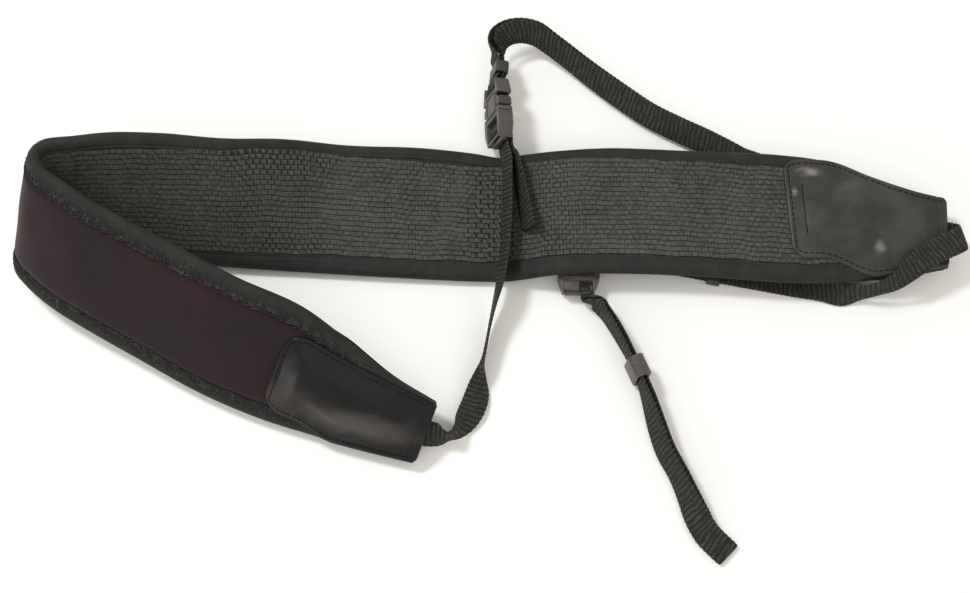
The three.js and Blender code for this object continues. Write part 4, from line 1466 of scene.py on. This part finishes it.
@dataclass
class Webbing:
    """Ribbed webbing along a path.

    Attributes:
        width: Its width.
        thick: Its thickness.
        rib: How far apart its ribs are.
        relief: How far they stand out.
        across_steps: How many points each of its faces has across.
    """

    width: float = WEB_WIDTH
    thick: float = WEB_THICK
    rib: float = 1.9
    relief: float = 0.12
    across_steps: int = 14

    def outline(self, where: Array, squeeze: Array, swell: Array
                ) -> tuple[Array, Array, Array]:
        """The webbing's section at each station.

        Args:
            where: Distances along, as a column.
            squeeze: What share of the width is left.
            swell: How much thicker it is.

        Returns:
            Across, face and the run round the section.
        """
        x = np.linspace(-1, 1, self.across_steps)[None, :]
        edge = np.sqrt(np.clip(1 - np.abs(x) ** 7, 0.12, 1))
        ribs = self.relief * np.abs(np.sin(where * math.pi / self.rib))
        height = (self.thick / 2 - self.relief + ribs) * edge * swell
        fray = 0.1 * np.sin(where * 2 * math.pi / self.rib)
        across = x * (self.width / 2 + fray) * squeeze
        there = round_trip(across, across)
        return there, round_trip(-height, height), np.concatenate([there, across[:, :1]], axis=1)

    def single(self, name: str, path: Path) -> Piece:
        """One thickness along the middle of a path."""
        where = np.arange(0, path.length, WEB_STEP)[:, None]
        one = np.ones_like(where)
        across, face, line = self.outline(where, one, one)
        return tube(name, path.place(where, across, face), run_at(where, line))

    def doubled(self, name: str, path: Path, gather: tuple[float, float, float, float],
                spread: float = 0.0) -> Piece:
        """An endless strap: out along one side of a path and back along the other.

        Args:
            name: The piece's name.
            path: The path midway between its two layers.
            gather: How it bunches at the bar: extra room, share of width lost, swell, length.
            spread: How far each layer moves out round the bend.

        Returns:
            The object.
        """
        extra, amount, swell, length = gather
        layer = (self.thick + LAYER_GAP) / 2
        opening, narrow, closed = BAR_ROOM

        def offset(at: Array) -> Array:
            """How far a layer's middle is from the path."""
            bunched = smoothstep(length - at, 0, length)
            bend = smoothstep(at, *SPREAD_OPENS) * (1 - smoothstep(at, *SPREAD_CLOSES))
            loose = 0.12 * np.abs(np.sin(at * math.pi / 31)) * smoothstep(at, 12, 30) \
                * smoothstep(path.length - at, 0, 12)
            apart = layer + self.thick / 2 * swell * bunched + spread * bend + loose
            return apart + (opening + extra - apart) * smoothstep(closed - at, 0,
                                                                  closed - narrow)

        out = np.arange(0, path.length, WEB_STEP)
        bends = np.radians(np.linspace(0, 180, 9)[1:-1])
        rings, runs, lines = [], [], []
        run = 0.0
        for leg, sign in ((out, 1.0), (out[::-1], -1.0)):
            last = leg[-1]
            where = leg[:, None]
            bunch = smoothstep(length - where, 0, length)
            travelled = run + np.abs(leg - leg[0])[:, None]
            across, face, line = self.outline(travelled, 1 - amount * bunch, 1 + swell * bunch)
            rings.append(path.place(where, across, sign * (face + offset(where))))
            runs.append(travelled[:, 0])
            lines.append(line)
            run = float(travelled[-1, 0])
            along, width, normal = path.axes(last)
            radius = float(offset(last))
            bunch = smoothstep(length - last, 0, length)
            for angle in bends:
                outwards = (normal * math.cos(angle) + along * math.sin(angle)) * sign
                here = run + radius * angle
                across, face, line = self.outline(np.array([[here]]), 1 - amount * bunch,
                                                  1 + swell * bunch)
                middle = path.take(path.point, last) + outwards * radius
                ring = middle + width * across[0][:, None] + outwards * face[0][:, None]
                rings.append(to_frame(ring)[None])
                runs.append(np.array([here]))
                lines.append(line)
            run += radius * math.pi
        uv = run_at(np.concatenate(runs)[:, None], np.concatenate(lines))
        uv = np.concatenate([uv, uv[:1] + np.array([run, 0.0])])
        return tube(name, np.concatenate(rings), uv, endless=True)


def sewn_end(knots: Knots, distances: Sequence[float]) -> Knots:
    """Starts webbing inside a tab.

    Args:
        knots: The knots to start.
        distances: Along the band, from deep in the tab to its end.

    Returns:
        The knots.
    """
    heading = 1.0 if distances[1] > distances[0] else -1.0
    for at in distances:
        across = unit(PAD.take(PAD.across, at))
        knots.add(PAD.take(PAD.point, at) + across * PAD.width(at) / 2, across * heading)
    return knots


def threaded(knots: Knots, buckle: BuckleFrame, turn: float) -> Knots:
    """Threads webbing through a buckle's latch and returns the knots."""
    for y, z in LADDER_THREAD:
        knots.add(buckle.at(0, y, z), buckle.width * turn)
    return knots


def loop_path(buckle: BuckleFrame, rows: Sequence[Row], shifts: tuple[float, float]) -> Path:
    """The middle line of a doubled loop.

    Args:
        buckle: The buckle whose bar it goes round.
        rows: The table of its sections.
        shifts: How far along the bar it sits, on the bar and just off it.

    Returns:
        The path.
    """
    knots = Knots()
    for shift, station in zip(shifts, BAR_STATIONS):
        knots.add(buckle.at(shift, station, 0), buckle.width)
    return Path.through(knots.rows(rows), 0.4)


@dataclass
class StrapSet:
    """Both lengths of webbing and both loops, with their stitches.

    Attributes:
        web: The webbing.
        seam: How wide a row of stitches across it is.
    """

    web: Webbing = field(default_factory=Webbing)
    seam: float = 8.4

    def front_path(self) -> Path:
        """From the front tab, through the back buckle, to the end of the tail."""
        knots = sewn_end(Knots(), [PAD.length - POCKET_DEPTH, PAD.length - POCKET_DEPTH / 2,
                                   PAD.length])
        threaded(knots.rows(FRONT_WEBBING_ROWS), BACK_BUCKLE, 1.0)
        return Path.through(knots.rows(FRONT_TAIL_ROWS), 0.4)

    def right_path(self) -> Path:
        """From the right tab, folded back and under the band, to the front buckle."""
        knots = sewn_end(Knots(), [POCKET_DEPTH, POCKET_DEPTH / 2, 0])
        threaded(knots.rows(RIGHT_WEBBING_ROWS), FRONT_BUCKLE, -1.0)
        return Path.through(knots.rows(RIGHT_TAIL_ROWS), 0.4)

    def hem(self, path: Path) -> None:
        """Folds the end of the tail on a path over once."""
        where = np.arange(path.length - 7.5, path.length + 0.2, 0.3)[:, None]
        one = np.ones_like(where)
        across, face, line = self.web.outline(where, 0.99 * one, 0.8 * one)
        settle(tube("tail_hem", path.place(where, across, face - 1.15), run_at(where, line)), WEB)

    def bars(self, name: str, path: Path, ends: tuple[float, float], face: float) -> None:
        """Two rows of stitches across the webbing.

        Args:
            name: The piece's name.
            path: The webbing's path.
            ends: How far from the path's end the rows run.
            face: The height of the rows above the path.
        """
        spots = Spots()
        across = np.arange(-self.seam / 2, self.seam / 2 + 0.01, 1.2)
        for end in ends:
            where = np.full_like(across, path.length - end)
            _, wide, normal = path.axes(where)
            spots.add(path.place(where, across, face), wide, normal * np.sign(face))
        Repeater(Shape.THREAD, 61).scatter(name, spots, (1.15, 0.42, 0.4), THREAD, 0.1, 0.1)

    def build(self) -> None:
        """Builds every strap."""
        front, right = self.front_path(), self.right_path()
        settle(self.web.single("strap_front", front), WEB, "webbing_front")
        settle(self.web.single("strap_right", right), WEB, "webbing_right")
        self.hem(front)
        self.bars("tail_stitches", front, (6.3, 1.2), -1.75)
        back = loop_path(BACK_BUCKLE, BACK_LOOP_ROWS, (0.0, 0.0))
        ahead = loop_path(FRONT_BUCKLE, FRONT_LOOP_ROWS, BUNCH_SHIFTS)
        settle(self.web.doubled("strap_loop_back", back, (0.0, 0.0, 0.0, 1.0), 0.8), WEB,
               "loop_back")
        settle(self.web.doubled("strap_loop_front", ahead, (0.3, 0.58, 0.5, 12.0)), WEB,
               "loop_front")
        self.bars("loop_front_stitches", ahead, (3.4, 2.2), 1.42)
        self.bars("loop_back_stitches", back, (3.4, 2.2), 1.42)


@dataclass
class HardPiece:
    """A moulded piece: its solid with rounded edges, and small raised details.

    Attributes:
        node: The solid that it is made from and stands for.
        name: The piece's name.
        bevel: The rounding of its edges.
        details: Boxes added to it, each from corner to corner in its buckle's frame.
        finish: Its plastic.
    """

    node: str
    name: str
    bevel: float = 0.32
    details: tuple = ()
    finish: PlasticFinish = PLASTIC

    def build(self, place: Matrix | None = None) -> None:
        """Builds the piece.

        Args:
            place: From the details' millimetres to the frame.
        """
        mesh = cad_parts[self.node].data.copy()
        work = bmesh.new()
        work.from_mesh(mesh)
        bmesh.ops.remove_doubles(work, verts=work.verts, dist=1e-6)
        bmesh.ops.dissolve_limit(work, angle_limit=math.radians(1.0), verts=work.verts,
                                 edges=work.edges)
        for low, high in self.details:
            made = bmesh.ops.create_cube(work, size=1.0)["verts"]
            size = [h - l for l, h in zip(low, high)]
            middle = [(h + l) / 2 for l, h in zip(low, high)]
            shape = Matrix.LocRotScale(Vector(middle), None, Vector(size))
            bmesh.ops.transform(work, matrix=place @ shape, verts=made)
        work.to_mesh(mesh)
        work.free()
        mesh.name = self.name
        piece = new_object(self.name, mesh)
        modifier = piece.modifiers.new("round", "BEVEL")
        modifier.width = self.bevel * MM
        modifier.segments = 3
        modifier.limit_method = "ANGLE"
        modifier.angle_limit = math.radians(24)
        modifier.harden_normals = False
        rounded = evaluated(piece)
        piece.modifiers.clear()
        piece.data = rounded
        soften(rounded, 40.0)
        settle(piece, self.finish, self.node)


@dataclass
class Hardware:
    """The two side release buckles and the three keepers."""

    lip: tuple = ((-5.6, 0.4, 2.9), (5.6, 1.5, 3.25))  # across the latch's end
    guard: tuple = ((-0.4, 21.6, -2.6), (5.9, 26.2, 2.7))  # beside the bunched webbing
    rims: tuple = (((-4.9, 12.6), (-4.1, 21.2)), ((4.1, 12.6), (4.9, 21.2)),
                   ((-4.9, 20.6), (4.9, 21.4)), ((-4.9, 12.4), (4.9, 13.2)))
    rim_levels: tuple = ((2.8, 3.35), (-3.35, -2.8))

    def panel(self) -> tuple:
        """The rims of a raised panel on both broad faces of a socket."""
        return tuple(((*low, under), (*high, over)) for under, over in self.rim_levels
                     for low, high in self.rims)

    def ribs(self, name: str, place: BuckleFrame) -> None:
        """Grip ribs on the two prongs of a latch.

        Args:
            name: The piece's name.
            place: The buckle.
        """
        spots = Spots()
        for side in (-1, 1):
            for y in (15.2, 16.3, 17.4):
                spots.add(to_frame(place.at(side * 8.1, y, 0)), place.through,
                          place.width * side)
        Repeater(Shape.BAR, 71).scatter(name, spots, (4.6, 0.45, 0.5), PLASTIC)

    def build(self) -> None:
        """Builds the buckles and the keepers."""
        for side, place, guard in (("back", BACK_BUCKLE, ()),
                                   ("front", FRONT_BUCKLE, (self.guard,))):
            HardPiece(f"buckle_{side}_latch", f"latch_{side}",
                      details=(self.lip,)).build(place.matrix())
            HardPiece(f"buckle_{side}_socket", f"socket_{side}",
                      details=self.panel() + guard).build(place.matrix())
            self.ribs(f"latch_ribs_{side}", place)
        HardPiece("keeper_front", "slide_front", bevel=0.9).build()
        for side in ("back", "right"):
            HardPiece(f"keeper_{side}", f"slide_{side}", bevel=0.6,
                      finish=KEEPER_PLASTIC).build()


# ---------------------------------------------------------------- stage


@dataclass
class Stage:
    """The floor, the soft light and the camera.

    Attributes:
        size: The side of the floor, in metres.
        view: From the layout's origin to the camera.
        tilt: The camera's tilt from straight down, in degrees.
        lens: Its focal length.
    """

    size: float = 6.0
    view: Vector = field(default_factory=lambda: Vector((0.0, -0.1915, 0.5262)))
    tilt: float = 20.0
    lens: float = 52.8

    def floor(self) -> None:
        """A wide pale surface."""
        s = self.size / 2
        mesh = bpy.data.meshes.new("floor")
        mesh.from_pydata([(-s, -s, 0), (s, -s, 0), (s, s, 0), (-s, s, 0)], [], [(0, 1, 2, 3)])
        plane = new_object("floor", mesh)
        FloorFinish("floor_white", "", 0.7).on(plane)

    def lamp(self, name: str, place: tuple, size: float, power: float,
             tint: tuple = (1, 1, 1)) -> None:
        """A square soft light that faces the strap.

        Args:
            name: Its name.
            place: Where it hangs, in metres.
            size: The length of its side.
            power: In watts.
            tint: Its colour.
        """
        light = bpy.data.lights.new(name, "AREA")
        light.shape, light.size, light.energy, light.color = "SQUARE", size, power, tint
        lamp = bpy.data.objects.new(name, light)
        lamp.location = place
        lamp.rotation_euler = (-Vector(place)).to_track_quat("-Z", "Y").to_euler()
        bpy.context.scene.collection.objects.link(lamp)

    def camera(self) -> None:
        """The camera, above and in front of the strap."""
        data = bpy.data.cameras.new("view")
        data.lens = self.lens
        data.sensor_width = 36.0
        camera = bpy.data.objects.new("view", data)
        camera.location = Vector(to_frame(np.zeros(3))) + self.view
        camera.rotation_euler = (math.radians(self.tilt), 0, 0)
        bpy.context.scene.collection.objects.link(camera)
        bpy.context.scene.camera = camera

    def build(self) -> None:
        """Builds the stage."""
        self.camera()
        self.floor()
        self.lamp("key", (-0.66, 0.46, 1.15), 0.24, 9.6, (0.96, 0.985, 1.0))
        self.lamp("fill", (0.5, -0.9, 1.3), 1.6, 4.4, (1.0, 0.985, 0.95))
        self.lamp("glint", (-0.62, -1.02, 0.42), 0.28, 1.6)
        world = bpy.data.worlds.new("studio")
        world.use_nodes = True
        colour, strength = world.node_tree.nodes["Background"].inputs[:2]
        colour.default_value, strength.default_value = (1, 0.975, 0.93, 1), 0.7
        bpy.context.scene.world = world
        bpy.context.scene.view_settings.view_transform = "Standard"


def main() -> None:
    """Builds the whole scene in order."""
    logging.basicConfig(level=logging.INFO, format="%(name)s: %(message)s")
    right = (TAB_REACH["right"], TAB_START)
    front = (PAD.length - TAB_REACH["front"], PAD.length - TAB_START)
    parts = [
        ("stage", Stage()),
        ("padded band", PaddedBand()),
        ("right tab, inner", Tab(
            "tab_right_inner", *right, -1, GREY_PATCH, slit=6.6, merge=(0.54, 0.4), bumps=(
                Bump(8.2, 0.9, 1.4, 2.7), Bump(3.4, 0.68, 0.8, 1.8), Bump(35, 0.17, 1.6, 3.2),
                Bump(27, 0.45, 0.5, 10.0), Bump(16, 0.86, 0.7, 4.0)))),
        ("right tab, outer", Tab("tab_right_outer", *right, 1, GREY_PATCH)),
        ("front tab, outer", Tab(
            "tab_front_outer", *front, 1, GLOSS_PATCH, corner=10.0, lower=5.0, upper=8.0,
            merge=(0.5, 0.95), crown=1.5, creased=0.4)),
        ("front tab, inner", Tab("tab_front_inner", *front, -1, GLOSS_PATCH)),
        ("webbing", StrapSet()),
        ("hardware", Hardware()),
    ]
    for name, part in parts:
        part.build()
        LOG.info("built %s", name)
    bpy.context.view_layer.update()


if __name__ == "__main__":
    main()
